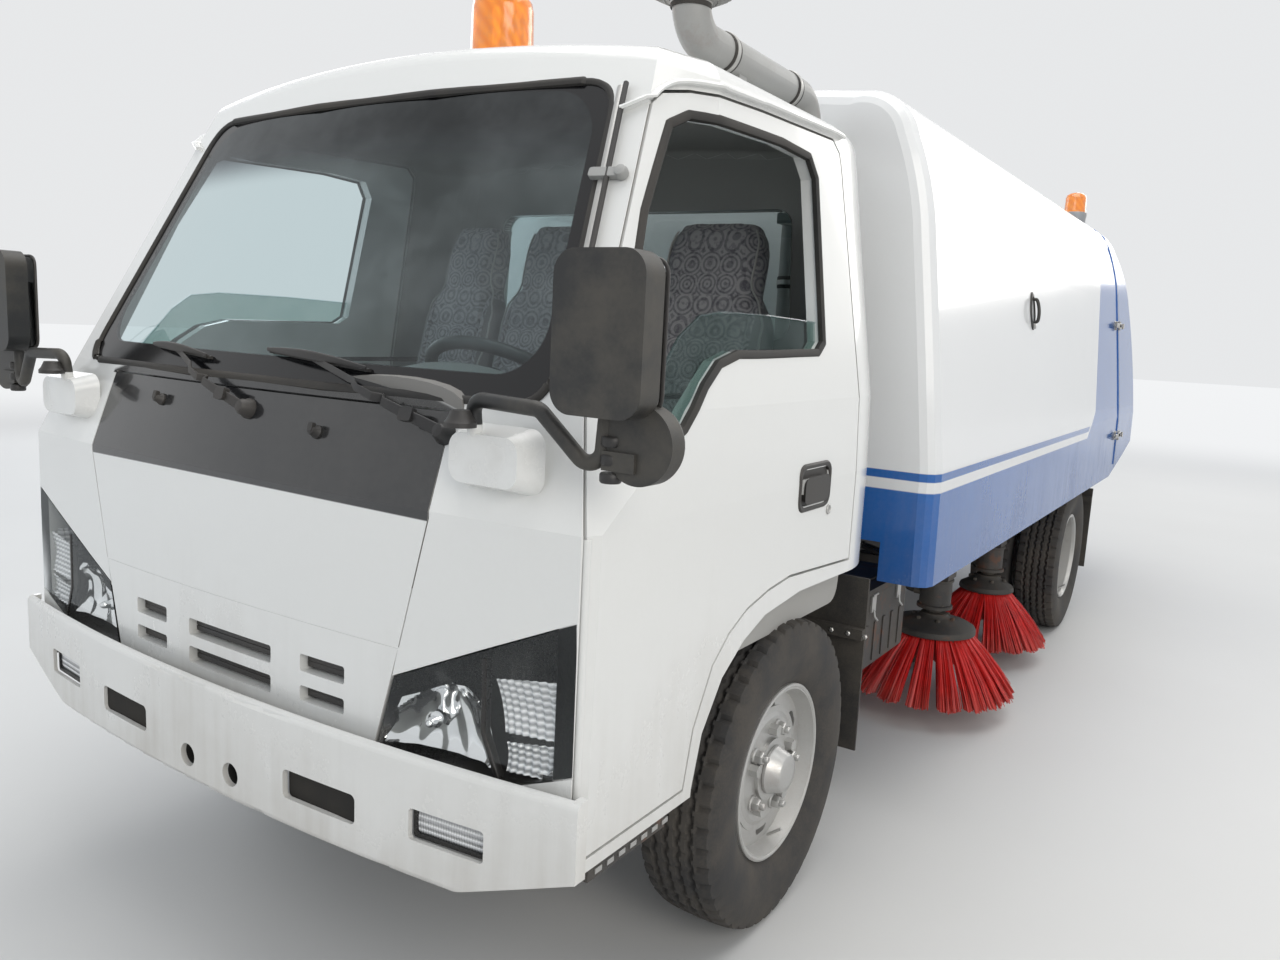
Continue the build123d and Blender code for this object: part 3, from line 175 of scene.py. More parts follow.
class Finish:
    """A material whose Principled shader is set by name and whose other nodes come from node()."""

    def __init__(self, name, **settings):
        self.material = bpy.data.materials.new(name)
        self.material.use_nodes = True
        self.tree = self.material.node_tree
        self.shader = self.tree.nodes["Principled BSDF"]
        self.coordinates = None
        self.set(**settings)

    def node(self, kind, settings=None, inputs=(), out=0):
        """Adds a node, sets its properties, then its sockets by index or by name."""
        node = self.tree.nodes.new("ShaderNode" + kind)
        for key, value in (settings or {}).items():
            if key == "stops":
                self.ramp(node.color_ramp, value)
            else:
                setattr(node, key, value)
        pairs = inputs.items() if isinstance(inputs, dict) else enumerate(inputs)
        for key, value in pairs:
            self.plug(node.inputs[key], value)
        return Value(self, node.outputs[out])

    def ramp(self, ramp, stops):
        """Sets a colour ramp from (position, colour) pairs; a number stands for a grey."""
        for index, (position, colour) in enumerate(stops):
            stop = ramp.elements[index] if index < 2 else ramp.elements.new(position)
            stop.position = position
            stop.color = (*colour, 1.0) if isinstance(colour, tuple) else (colour, colour, colour, 1.0)

    def plug(self, socket, value):
        if isinstance(value, Value):
            self.tree.links.new(value.socket, socket)
        elif socket.type == "RGBA" and len(value) == 3:
            socket.default_value = (*value, 1.0)
        else:
            socket.default_value = value

    def set(self, **settings):
        for key, value in settings.items():
            self.plug(self.shader.inputs[key.replace("_", " ")], value)
        return self

    def place(self, axis=None):
        """The point on the surface in metres, or one of its three numbers."""
        if self.coordinates is None:
            self.coordinates = self.node("TexCoord", out="Object")
        if axis is None:
            return self.coordinates
        return self.node("SeparateXYZ", None, [self.coordinates], out="XYZ".index(axis))

    def noise(self, scale, detail=3.0, rough=0.5, vector=None):
        return self.node("TexNoise", None, {"Vector": vector or self.place(), "Scale": scale,
                                            "Detail": detail, "Roughness": rough}, out="Fac")

    def stretch(self, x, y, z):
        """The surface point with its axes scaled, for streaks and weaves."""
        return self.node("Mapping", None, {"Vector": self.place(), "Scale": (x, y, z)})

    def wave(self, scale, bands="X", distortion=0.0):
        """Even bands across one axis."""
        return self.node("TexWave", {"bands_direction": bands},
                         {"Vector": self.place(), "Scale": scale, "Distortion": distortion}, out="Fac")

    def mix(self, mask, low, high):
        """A colour that goes from low to high with the mask."""
        return self.node("Mix", {"data_type": "RGBA"}, {0: mask, 6: low, 7: high}, out=2)

    def bump(self, height, strength=0.3, distance=0.001):
        normal = self.node("Bump", None, {"Strength": strength, "Distance": distance, "Height": height},
                           out="Normal")
        self.plug(self.shader.inputs["Normal"], normal)
        return self


# %% [markdown]
# The floor is a slightly uneven grey near the truck. Far off it turns into a plain glow as pale as the sky,
# so no horizon line is drawn behind the truck.

# %% Floor finish
floor_grey = Finish("floor_grey", Roughness=0.7, Emission_Strength=1.0)
floor_x = floor_grey.place("X")
floor_y = floor_grey.place("Y")
far_off = (floor_x * floor_x + floor_y * floor_y).math("SQRT").above(9.5, 6.5)
near_grey = floor_grey.mix(floor_grey.noise(0.7, 4), (0.60, 0.60, 0.59), (0.66, 0.66, 0.65))
floor_grey.set(Base_Color=floor_grey.mix(far_off, near_grey, (0.02, 0.02, 0.02)))
floor_grey.set(Emission_Color=floor_grey.mix(far_off, (0.0, 0.0, 0.0), (0.78, 0.79, 0.80)))
floor_mesh.materials.append(floor_grey.material)
print("floor", floor_grey.material.name)

# %% [markdown]
# Paint on a working truck is glossy but not clean: a clear coat over white, with faint orange peel, dull
# dusty patches, streaks of road dirt that grow towards the sills, and fine dust that kills the gloss.
# One function makes every painted finish, so the cab and the sweeper body share the same dirt.

# %% Paint
earth = (0.27, 0.23, 0.18)
dust = (0.50, 0.47, 0.42)


def paint(name, colour, dirt=0.5, gloss=0.2, low=0.45, high=1.15, coat=0.6, tint=None):
    """A coated paint whose road dirt fades out between two heights. tint changes the colour by place."""
    finish = Finish(name)
    height = finish.place("Z")
    patches = finish.noise(2.3, 6, 0.62)
    streaks = finish.noise(1.0, 5, 0.6, finish.stretch(26, 26, 1.6))
    fine = finish.noise(90, 4, 0.7)
    fall = 1 - height.above((low + high) / 2, (high - low) / 2)
    grime = (patches * 0.55 + streaks * 0.4 + fall * 0.45).above(0.86, 0.3) * dirt
    film = (patches * 0.6 + fine * 0.4).above(0.55, 0.25) * 0.16 * dirt
    ground = tint(finish, colour) if tint else colour
    finish.set(Base_Color=finish.mix(film, finish.mix(grime * 0.7, ground, earth), dust))
    finish.set(Roughness=grime * 0.45 + film * 1.2 + gloss, Coat_Weight=(1 - grime) * coat,
               Coat_Roughness=0.05)
    return finish.bump(finish.noise(420, 2) * 0.4 + finish.noise(14, 2) * 0.6, 0.05, 0.0006)


white = (0.73, 0.735, 0.72)
cab_white = paint("cab_white", white, dirt=0.45)
bumper_white = paint("bumper_white", (0.70, 0.70, 0.68), dirt=0.75, low=0.3, high=0.95)
print("paints", cab_white.material.name, bumper_white.material.name)

# %% [markdown]
# The sweeper body carries a painted band. It is laid out by place, as a sign painter masks it with tape:
# blue below one height, then a white pinstripe and a thin blue one, which all turn up at the tail along
# one sweeping curve. The curve is a colour ramp that gives the edge's Y for each height Z.

# %% Body band
band_blue = (0.003, 0.100, 0.37)
sweep_low, sweep_high = 0.95, 2.35
sweep_start, sweep_span = 1.2, 0.75
sweep_edge = [(0.95, 1.20), (1.064, 1.353), (1.151, 1.509), (1.37, 1.571), (1.582, 1.643), (1.877, 1.755),
              (1.949, 1.805), (2.35, 1.90)]


def band(finish, ground):
    """Blue under the pinstripes and behind the sweep, ground colour elsewhere."""
    y = finish.place("Y")
    z = finish.place("Z")
    share = (z - sweep_low) / (sweep_high - sweep_low)
    stops = [((h - sweep_low) / (sweep_high - sweep_low), (e - sweep_start) / sweep_span)
             for h, e in sweep_edge]
    edge = finish.node("ValToRGB", {"stops": stops}, [share]) * sweep_span + sweep_start
    behind = (y - edge).above(0.0, 0.004)
    drop = 1 - (z - 1.024).above(0.0, 0.002)
    thin = (z - 1.057).above(0.0, 0.0015) * (1 - (z - 1.082).above(0.0, 0.0015))
    blue = behind.either(drop).either(thin * (1 - (y - edge).above(-0.03, 0.004)))
    wear = finish.noise(7, 5, 0.6).above(0.62, 0.12) * 0.12
    return finish.mix(blue, ground, finish.mix(wear, band_blue, (0.05, 0.20, 0.56)))


body_white = paint("body_white", (0.735, 0.745, 0.75), dirt=0.35, gloss=0.16, low=0.6, high=1.3, coat=0.35,
                   tint=band)
body_white.set(Specular_IOR_Level=0.35)
print("band from", sweep_edge[0], "to", sweep_edge[-1])

# %% [markdown]
# Under the paint shop's work sit the rougher finishes: black chassis paint that is grey with road dust and
# shows rust at its edges, cast iron, bare steel, moulded black plastic and rubber. They differ mostly in
# roughness and in how much dust they hold, so one function with a few numbers covers them.

# %% Chassis, plastic and rubber


def dusty(name, colour, rough=0.5, metal=0.0, dirt=0.5, rust=0.0, grain=300, relief=0.15, scale=3.0):
    """A plain ground colour under dust, with rust patches and a fine surface grain."""
    finish = Finish(name, Metallic=metal)
    cloud = finish.noise(scale, 6, 0.65)
    fine = finish.noise(grain, 3, 0.6)
    veil = (cloud * 0.75 + fine * 0.25).above(0.5, 0.16) * dirt
    base = finish.mix(veil * 0.36, colour, earth)
    if rust:
        spots = finish.noise(11, 8, 0.7).above(0.6, 0.06) * rust
        base = finish.mix(spots, base, (0.17, 0.058, 0.022))
        veil = veil.either(spots)
    finish.set(Base_Color=base, Roughness=veil * 0.35 + fine * 0.12 + (rough - 0.06))
    if metal:
        finish.set(Metallic=(1 - veil) * metal)
    return finish.bump(fine, relief, 0.0008)


chassis_black = dusty("chassis_black", (0.022, 0.022, 0.023), 0.5, dirt=0.75, rust=0.5)
cast_iron = dusty("cast_iron", (0.055, 0.05, 0.045), 0.7, dirt=0.8, rust=0.7, grain=120, relief=0.4)
bare_steel = dusty("bare_steel", (0.46, 0.46, 0.45), 0.3, metal=0.9, dirt=0.45, rust=0.2)
ram_chrome = dusty("ram_chrome", (0.62, 0.62, 0.62), 0.12, metal=1.0, dirt=0.12)
trim_black = dusty("trim_black", (0.018, 0.018, 0.019), 0.42, dirt=0.28, grain=700)
mirror_black = dusty("mirror_black", (0.014, 0.0145, 0.015), 0.38, dirt=0.35, grain=900, relief=0.25)
seal_rubber = dusty("seal_rubber", (0.012, 0.012, 0.012), 0.62, dirt=0.3)
tyre_rubber = dusty("tyre_rubber", (0.026, 0.026, 0.027), 0.78, dirt=0.55, grain=160, relief=0.3, scale=6)
flap_rubber = dusty("flap_rubber", (0.02, 0.02, 0.02), 0.7, dirt=0.7)
rim_silver = dusty("rim_silver", (0.50, 0.50, 0.49), 0.34, metal=0.75, dirt=0.5, rust=0.12, grain=240)
pipe_grey = dusty("pipe_grey", (0.33, 0.335, 0.33), 0.42, metal=0.25, dirt=0.4, rust=0.12)
dash_grey = dusty("dash_grey", (0.20, 0.195, 0.185), 0.6, dirt=0.2, grain=900, relief=0.3)
liner_grey = dusty("liner_grey", (0.36, 0.355, 0.34), 0.75, dirt=0.15, grain=500)
# painted_shade_black is near-black painted shade for the insides of the grille and bumper openings.
painted_shade_black = dusty("painted_shade_black", (0.006, 0.006, 0.006), 0.85, dirt=0.2)
hub_black = dusty("hub_black", (0.02, 0.02, 0.02), 0.55, dirt=0.6, rust=0.25)
print("finishes", len(bpy.data.materials))

# %% [markdown]
# Glass that bends light would leave the cab dark inside, because light doesn't find its way through
# it in a short render. A pane is thin, so it is made as two shaders mixed: a see-through one, and a
# mirror whose share grows at low angles, as real glass does. Only the side a ray enters by is a mirror, or
# the pane would trap light between its two faces. Black borders are masked in the same way.

# %% Glass


def pane(name, tint, shine=1.0, border=None, strip=None, haze=0.03):
    """Thin glass. border and strip give masks for the printed edge and the dark band at its top."""
    finish = Finish(name, Base_Color=(0.82, 0.86, 0.88), Metallic=1.0, Roughness=0.02)
    clear = finish.node("BsdfTransparent", None, {"Color": tint})
    if strip:
        colour = finish.mix(strip(finish), tint, (0.02, 0.035, 0.06))
        finish.plug(clear.socket.node.inputs["Color"], colour)
    low_angle = finish.node("LayerWeight", None, {"Blend": 0.5}, out="Facing")
    entering = 1 - finish.node("NewGeometry", None, {}, out="Backfacing")
    smears = finish.noise(3.1, 5, 0.7).above(0.5, 0.2) * haze
    glass = finish.node("MixShader", None, {0: (low_angle ** 5 * 0.9 + 0.055) * entering * shine + smears,
                                            1: clear, 2: Value(finish, finish.shader.outputs[0])})
    if border:
        print_black = finish.node("BsdfPrincipled", None, {"Base Color": (0.006, 0.006, 0.007),
                                                           "Roughness": 0.14})
        glass = finish.node("MixShader", None, {0: border(finish), 1: glass, 2: print_black})
    finish.plug(finish.tree.nodes["Material Output"].inputs["Surface"], glass)
    return finish


screen_foot, screen_top = 1.322, 1.952
screen_half, screen_lean = 0.735, 0.169


def screen_depths(finish):
    """How far a point of the windscreen lies inside its sides, and inside its top and bottom."""
    x = finish.place("X").math("ABSOLUTE")
    z = finish.place("Z")
    inside = screen_half - (z - screen_foot) * screen_lean - x
    top = screen_top - x * x * 0.05 - z
    return inside, top, z - screen_foot


def screen_border(finish):
    """A black printed edge with rounded inner corners."""
    inside, top, foot = screen_depths(finish)
    reach = 0.13
    near_side = (reach - inside).math("MAXIMUM", 0.0)
    near_end = (reach - (top + 0.012).math("MINIMUM", foot - 0.012)).math("MAXIMUM", 0.0)
    return (near_side * near_side + near_end * near_end).math("SQRT").above(reach - 0.036, 0.0015)


def sun_strip(finish):
    """The dark blue shade along the top of the windscreen."""
    top = screen_depths(finish)[1]
    return 1 - top.above(0.13, 0.07)


screen_glass = pane("screen_glass", (0.80, 0.87, 0.88), border=screen_border, strip=sun_strip, haze=0.05)
door_pane = pane("door_pane", (0.62, 0.70, 0.68), haze=0.05)
clear_lens = pane("clear_lens", (0.95, 0.96, 0.96), shine=0.9, haze=0.02)
rear_pane = pane("rear_pane", (0.85, 0.90, 0.90), haze=0.04)
print("panes", [f.material.name for f in (screen_glass, door_pane, clear_lens, rear_pane)])

# %% [markdown]
# Lamps need three more finishes: a bright reflector with the waves of its pressed facets, a ribbed clear
# lens, and coloured plastics that let some light through. Coloured plastic is a Principled shader with a
# constant transmission, because every number behind that socket has to stay plain for the export.

# %% Lamp plastics
reflector = Finish("reflector", Base_Color=(0.80, 0.81, 0.82), Metallic=1.0, Roughness=0.09)
reflector.bump(reflector.wave(9.0, distortion=3.0), 0.25, 0.002)
ribbed_lens = Finish("ribbed_lens", Base_Color=(0.83, 0.84, 0.84), Roughness=0.12, Metallic=0.25,
                     Coat_Weight=1.0, Coat_Roughness=0.03)
ribs = ribbed_lens.wave(26.0, "Z")
# The lens colour runs light and dark with the ribs: painted highlight and painted shade along each rib.
ribbed_lens.set(Base_Color=ribbed_lens.mix(ribs, (0.88, 0.89, 0.90), (0.42, 0.43, 0.44)))
ribbed_lens.bump(ribs, 0.9, 0.004)


def coloured_plastic(name, colour, deep, glow=0.0):
    """Amber or red lens plastic with vertical flutes moulded inside."""
    finish = Finish(name, Roughness=0.16, Transmission_Weight=0.35, IOR=1.45, Coat_Weight=0.8,
                    Coat_Roughness=0.04)
    flutes = finish.wave(14.0, "DIAGONAL")
    dirt = finish.noise(16, 5, 0.7).above(0.56, 0.14) * 0.3
    finish.set(Base_Color=finish.mix(dirt, finish.mix(flutes * 0.5, colour, deep), earth))
    if glow:
        finish.set(Emission_Color=colour, Emission_Strength=glow)
    return finish.bump(flutes, 0.25, 0.002)


beacon_amber = coloured_plastic("beacon_amber", (0.95, 0.30, 0.02), (0.70, 0.14, 0.005), 0.12)
tail_red = coloured_plastic("tail_red", (0.60, 0.012, 0.01), (0.32, 0.004, 0.004))
print("lamp finishes done")

# %% [markdown]
# The seat covers are a grey woven cloth with a small repeated ornament in a darker and a lighter grey.
# A weave is two crossed waves; the ornament is a generic lattice of rings and dots from a Voronoi pattern
# on a regular grid. Both are in object space, because remeshed cushions have no UV map.

# %% Cloth and bristle
seat_cloth = Finish("seat_cloth", Roughness=0.88, Sheen_Weight=0.35, Sheen_Roughness=0.5)
thread_a = seat_cloth.wave(190.0)
thread_b = seat_cloth.wave(190.0, "Z")
cells = seat_cloth.node("TexVoronoi", {"feature": "F1"}, {"Vector": seat_cloth.place(), "Scale": 17.0,
                                                          "Randomness": 0.12}, out="Distance")
rings = (cells * 34.0).math("SINE").above(0.1, 0.35)
sprig = seat_cloth.noise(60, 4, 0.7).above(0.55, 0.06)
motif = rings * 0.65 + sprig * 0.5
cloth = seat_cloth.mix(motif.math("MINIMUM", 1.0), (0.33, 0.32, 0.33), (0.085, 0.08, 0.10))
seat_cloth.set(Base_Color=seat_cloth.mix(thread_a * thread_b * 0.25, cloth, (0.6, 0.59, 0.58)))
seat_cloth.bump(thread_a + thread_b, 0.5, 0.0006)
seat_side = Finish("seat_side", Roughness=0.9, Sheen_Weight=0.3)
strands = seat_side.noise(260, 4, 0.7)
seat_side.set(Base_Color=seat_side.mix(strands, (0.10, 0.10, 0.11), (0.22, 0.215, 0.22)))
seat_side.bump(strands, 0.5, 0.0008)

bristle_red = Finish("bristle_red", Roughness=0.45)
shade = bristle_red.noise(22, 4, 0.6)
tips = 1 - bristle_red.place("Z").above(0.14, 0.06)
red = bristle_red.mix(shade, (0.30, 0.004, 0.004), (0.80, 0.02, 0.016))
bristle_red.set(Base_Color=bristle_red.mix(tips * 0.35 * shade, red, earth))
bristle_red.bump(bristle_red.noise(400, 2), 0.3, 0.0005)
print("finishes", len(bpy.data.materials))

# %% [markdown]
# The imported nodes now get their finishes. Glass, lamps and anything with a printed edge have their own
# material; the rest share the chassis, plastic and paint finishes. A node can hold one material here,
# because its slots are shared by all of its faces.

# %% Dress the CAD nodes
dress = {
    chassis_black: ["frame_rails", "battery_box", "rear_bar", "brush_carriers", "body_subframe",
                    "drive_shaft", "steps"],
    cast_iron: ["engine_block", "leaf_springs", "front_axle_beam", "rear_axle", "knuckle_left",
                "knuckle_right", "suction_nozzle", "fuel_tank"],
    cab_white: ["cab_shell", "front_panel", "grille_panel", "door_left", "door_right"],
    bumper_white: ["bumper"],
    body_white: ["body_housing", "rear_door"],
    screen_glass: ["windscreen"],
    door_pane: ["door_glass_left", "door_glass_right"],
    rear_pane: ["rear_window"],
    dash_grey: ["dashboard"],
    trim_black: ["steering_wheel", "wipers"],
    mirror_black: ["mirror_left", "mirror_right"],
    beacon_amber: ["roof_beacon", "body_beacon"],
    pipe_grey: ["intake_pipe"],
    rim_silver: ["front_rim_left", "front_rim_right", "rear_rims_left", "rear_rims_right"],
    tyre_rubber: ["front_tyre_left", "front_tyre_right", "rear_tyres_left", "rear_tyres_right"],
    flap_rubber: ["mud_flaps"],
    tail_red: ["tail_lamps"],
    ram_chrome: ["ram_rod"],
    bare_steel: ["ram_barrel"],
    clear_lens: ["headlamp_left", "headlamp_right", "fog_lamps"],
    bristle_red: ["brush_front_left", "brush_front_right", "brush_rear_left", "brush_rear_right"],
    seat_cloth: ["seat_left", "seat_right"],
}
for finish, names in dress.items():
    for name in names:
        slots = nodes[name].data.materials
        slots.clear()
        slots.append(finish.material)
        nodes[name].data.polygons.foreach_set("material_index", [0] * len(nodes[name].data.polygons))
print("dressed", sum(len(names) for names in dress.values()), "of", len(nodes))

# %% [markdown]
# Pieces are built as lists of points and faces first, which keeps the geometry readable: a ring of points
# is moved along a path or turned about an axis, and neighbouring rings are joined by four-sided faces.
# Only when a piece is complete does it become a mesh with a material and a body to ride on.

# %% Shape builder
shift = Matrix.Translation
quarter = math.pi / 2
x_axis, y_axis, z_axis = Vector((1, 0, 0)), Vector((0, 1, 0)), Vector((0, 0, 1))


def rounded(corners, radius, steps=5):
    """A closed outline with its corners rounded off by arcs. Corners are pairs of numbers."""
    outline = []
    count = len(corners)
    for i in range(count):
        here = Vector(corners[i])
        back = Vector(corners[i - 1]) - here
        ahead = Vector(corners[(i + 1) % count]) - here
        reach = min(radius, back.length * 0.45, ahead.length * 0.45)
        start = here + back.normalized() * reach
        end = here + ahead.normalized() * reach
        for k in range(steps + 1):
            t = k / steps
            outline.append(tuple(start * (1 - t) ** 2 + here * 2 * t * (1 - t) + end * t * t))
    return outline


def smooth_path(points, steps=8, looped=False):
    """A Catmull-Rom curve through the points."""
    points = [Vector(p) for p in points]
    count = len(points)
    path = []
    for i in range(count if looped else count - 1):
        if looped:
            p = [points[(i + k) % count] for k in (-1, 0, 1, 2)]
        else:
            p = [points[min(max(i + k, 0), count - 1)] for k in (-1, 0, 1, 2)]
        for k in range(steps):
            t = k / steps
            path.append(0.5 * (2 * p[1] + (p[2] - p[0]) * t + (2 * p[0] - 5 * p[1] + 4 * p[2] - p[3]) * t * t
                               + (3 * p[1] - p[0] - 3 * p[2] + p[3]) * t ** 3))
    if not looped:
        path.append(points[-1])
    return path


def circle(radius, sides):
    return [(radius * math.cos(2 * math.pi * k / sides), radius * math.sin(2 * math.pi * k / sides))
            for k in range(sides)]


def panel(x0, y0, x1, y1, radius, steps):
    """A rounded rectangle between two corners."""
    return rounded([(x0, y0), (x1, y0), (x1, y1), (x0, y1)], radius, steps)


def slab(x, y, radius, steps):
    """A rounded rectangle of half sizes x and y."""
    return panel(-x, -y, x, y, radius, steps)


def wedge(foot_x, foot_y, top_x, top_y, radius, steps):
    """A rounded trapezium of half widths foot_x and top_x."""
    return rounded([(-foot_x, foot_y), (foot_x, foot_y), (top_x, top_y), (-top_x, top_y)], radius, steps)


def about(axis, angle):
    """A turn about one axis."""
    return Matrix.Rotation(angle, 4, axis)


def stand_on(place, out):
    """A place whose Z axis points out of a surface."""
    return shift(place) @ Vector(out).to_track_quat("Z", "Y").to_matrix().to_4x4()


class Shape:
    """Points and faces of one piece. mark is the number of the finish that a face gets."""

    def __init__(self):
        self.points = []
        self.faces = []
        self.marks = []

    def face(self, indices, mark=0):
        self.faces.append(tuple(indices))
        self.marks.append(mark)

    def rings(self, rows, closed=True, looped=False, ends=True, mark=0):
        """Joins rows of points, all of one length, by four-sided faces."""
        first = len(self.points)
        count = len(rows[0])
        for row in rows:
            self.points += [Vector(p) for p in row]
        for j in range(len(rows) if looped else len(rows) - 1):
            a = first + j * count
            b = first + (j + 1) % len(rows) * count
            for i in range(count if closed else count - 1):
                k = (i + 1) % count
                self.face((a + i, a + k, b + k, b + i), mark)
        if ends and closed and not looped:
            last = first + (len(rows) - 1) * count
            self.face(range(first + count - 1, first - 1, -1), mark)
            self.face(range(last, last + count), mark)
        return self

    def sweep(self, path, profile, side=None, looped=False, scale=None, mark=0):
        """Moves a flat profile of (across, up) pairs along a path without letting it twist."""
        path = [Vector(p) for p in path]
        count = len(path)
        rows = []
        for i, here in enumerate(path):
            if looped:
                along = path[(i + 1) % count] - path[i - 1]
            else:
                along = path[min(i + 1, count - 1)] - path[max(i - 1, 0)]
            along.normalize()
            if side is None:
                side = along.cross(Vector((0, 0, 1)))
                if side.length < 0.1:
                    side = Vector((1, 0, 0))
            side = (side - along * side.dot(along)).normalized()
            up = along.cross(side)
            size = scale[i] if scale else 1.0
            rows.append([here + side * a * size + up * b * size for a, b in profile])
        return self.rings(rows, looped=looped, mark=mark)

    def tube(self, path, radius, sides=12, looped=False, scale=None, mark=0):
        return self.sweep(path, circle(radius, sides), looped=looped, scale=scale, mark=mark)

    def lathe(self, profile, place=Matrix(), steps=48, looped=False, ends=True, mark=0):
        """Turns (radius, height) pairs about the place's Z axis. looped closes the profile on itself."""
        rows = [[place @ Vector((x * r, y * r, h)) for x, y in circle(1.0, steps)] for r, h in profile]
        return self.rings(rows, looped=looped, ends=ends and not looped, mark=mark)

    def plate(self, outline, low, high, place=Matrix(), mark=0):
        """A flat outline of (x, y) pairs, between two heights."""
        return self.rings([[place @ Vector((x, y, h)) for x, y in outline] for h in (low, high)], mark=mark)

    def stack(self, outline, levels, place, middle=0.0, mark=0):
        """An outline repeated at (share of its size, height) levels."""
        return self.rings([[place @ Vector((middle + x * share, y * share, h)) for x, y in outline]
                           for share, h in levels], mark=mark)

    def bolt(self, radius, height, place, mark=0):
        """A hexagon bolt head with a chamfered top."""
        return self.lathe([(radius, 0.0), (radius, height), (radius - 0.003, height + 0.002)], place, 6,
                          mark=mark)

    def block(self, size, place, round_off=0.0, mark=0):
        """A box about the place's origin, with its upright corners rounded."""
        x, y, z = (length / 2 for length in size)
        corners = [(-x, -y), (x, -y), (x, y), (-x, y)]
        return self.plate(rounded(corners, round_off, 4) if round_off else corners, -z, z, place, mark)

    def join(self, other):
        start = len(self.points)
        self.points += other.points
        self.faces += [tuple(start + i for i in f) for f in other.faces]
        self.marks += other.marks
        return self

    def make(self, name, body, slot, *finishes, bevel=0.0, sharp=35, outward=True):
        """Turns the shape into an object that rides on a body."""
        mesh = bpy.data.meshes.new(name)
        mesh.from_pydata([tuple(p) for p in self.points], [], self.faces)
        for finish in finishes:
            mesh.materials.append(finish.material)
        mesh.polygons.foreach_set("material_index", self.marks)
        if outward:
            work = bmesh.new()
            work.from_mesh(mesh)
            bmesh.ops.recalc_face_normals(work, faces=work.faces)
            work.to_mesh(mesh)
            work.free()
        mesh.shade_smooth()
        mesh.set_sharp_from_angle(angle=math.radians(sharp))
        piece = bpy.data.objects.new(name, mesh)
        bpy.context.scene.collection.objects.link(piece)
        if bevel:
            edge = piece.modifiers.new("edge", "BEVEL")
            edge.width = bevel
            edge.segments = 2
            edge.limit_method = "ANGLE"
            edge.angle_limit = math.radians(40)
            edge.harden_normals = True
        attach(piece, body)
        return piece


print("shape builder ready")

# %% [markdown]
# Trims have to sit exactly on curved sheet metal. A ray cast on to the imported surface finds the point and
# the direction there, the way a fitter feels for the panel, so no trim floats or sinks.

# %% Find a surface
trees = {}


def meet(names, start, direction, lift=0.0):
    """The first point of some nodes that a ray meets, lifted off along the surface's normal."""
    best = None
    for name in names.split():
        if name not in trees:
            mesh = nodes[name].data
            trees[name] = BVHTree.FromPolygons([v.co for v in mesh.vertices],
                                               [tuple(p.vertices) for p in mesh.polygons])
        hit, normal, _, far = trees[name].ray_cast(Vector(start), Vector(direction).normalized())
        if hit is not None and (best is None or far < best[2]):
            best = (hit, normal, far)
    if best is None:
        return None
    hit, normal, _ = best
    if normal.dot(Vector(direction)) > 0:
        normal = -normal
    return hit + normal * lift, normal


def front_on(names, x, z, lift=0.0):
    """A point on the truck's front, seen from straight ahead."""
    return meet(names, (x, -4.0, z), (0, 1, 0), lift)


def side_on(names, side, y, z, lift=0.0):
    """A point on the truck's side. side is 1 for its left and -1 for its right."""
    return meet(names, (side * 2.0, y, z), (-side, 0, 0), lift)


def strip_on(shape, spots, profile, names, view, looped=False):
    """Lays a profile of (across, out) pairs over the surface, through spots as the view sees them."""
    path = [found for found in (view(names, *spot) for spot in spots) if found]
    rows = []
    count = len(path)
    for i, (here, normal) in enumerate(path):
        after = path[(i + 1) % count][0] if looped else path[min(i + 1, count - 1)][0]
        before = path[i - 1][0] if looped else path[max(i - 1, 0)][0]
        along = (after - before).normalized()
        across = along.cross(normal).normalized()
        rows.append([here + across * a + normal * b for a, b in profile])
    return shape.rings(rows, looped=looped)


def spread(points, steps=6, looped=False):
    """More spots along straight runs between pairs of numbers."""
    out = []
    count = len(points)
    for i in range(count if looped else count - 1):
        a, b = Vector(points[i]), Vector(points[(i + 1) % count])
        out += [tuple(a.lerp(b, k / steps)) for k in range(steps)]
    if not looped:
        out.append(tuple(points[-1]))
    return out


spot, lean = front_on("windscreen", 0, 1.6)
print("windscreen at", [round(v, 3) for v in spot], "leans", round(math.degrees(math.asin(lean.z)), 1))
axle_front, axle_rear, axle_height = -1.98, 1.38, 0.3875
front_wheel_x, inner_wheel_x, outer_wheel_x = 0.752, 0.600, 0.824
sides = ((1, "left"), (-1, "right"))

# %% [markdown]
# Truck tyres have a ribbed tread: round grooves, sipes across the ribs and blocks at the shoulders. The
# cross-section is turned about the axle in many small steps, and a point is drawn in wherever it lies in a
# groove, which gives real edges for the light to catch. Sidewalls carry fine rings and dust, no lettering.

# %% Tyres
tyre_out = [(0.0695, 0.2125), (0.0735, 0.222), (0.083, 0.235), (0.092, 0.262), (0.0985, 0.292),
            (0.0998, 0.318), (0.0975, 0.345), (0.0940, 0.3605)]
tread_half = 0.088
tread_steps = 34
turn_steps = 240


def tread_depth(x, turn):
    """How far the tread is drawn in at a place across it and round it."""
    depth = 0.0
    for groove in (-0.047, -0.0165, 0.0165, 0.047):
        wave = groove + 0.0028 * (1 if int(turn * 0.5) % 2 else -1)
        if abs(x - wave) < 0.0042:
            depth = 0.0105
    if abs(x) > 0.060 and turn % 5 == 0:
        depth = max(depth, 0.009)
    elif abs(x) < 0.044 and turn % 5 == 2:
        depth = max(depth, 0.004)
    return depth


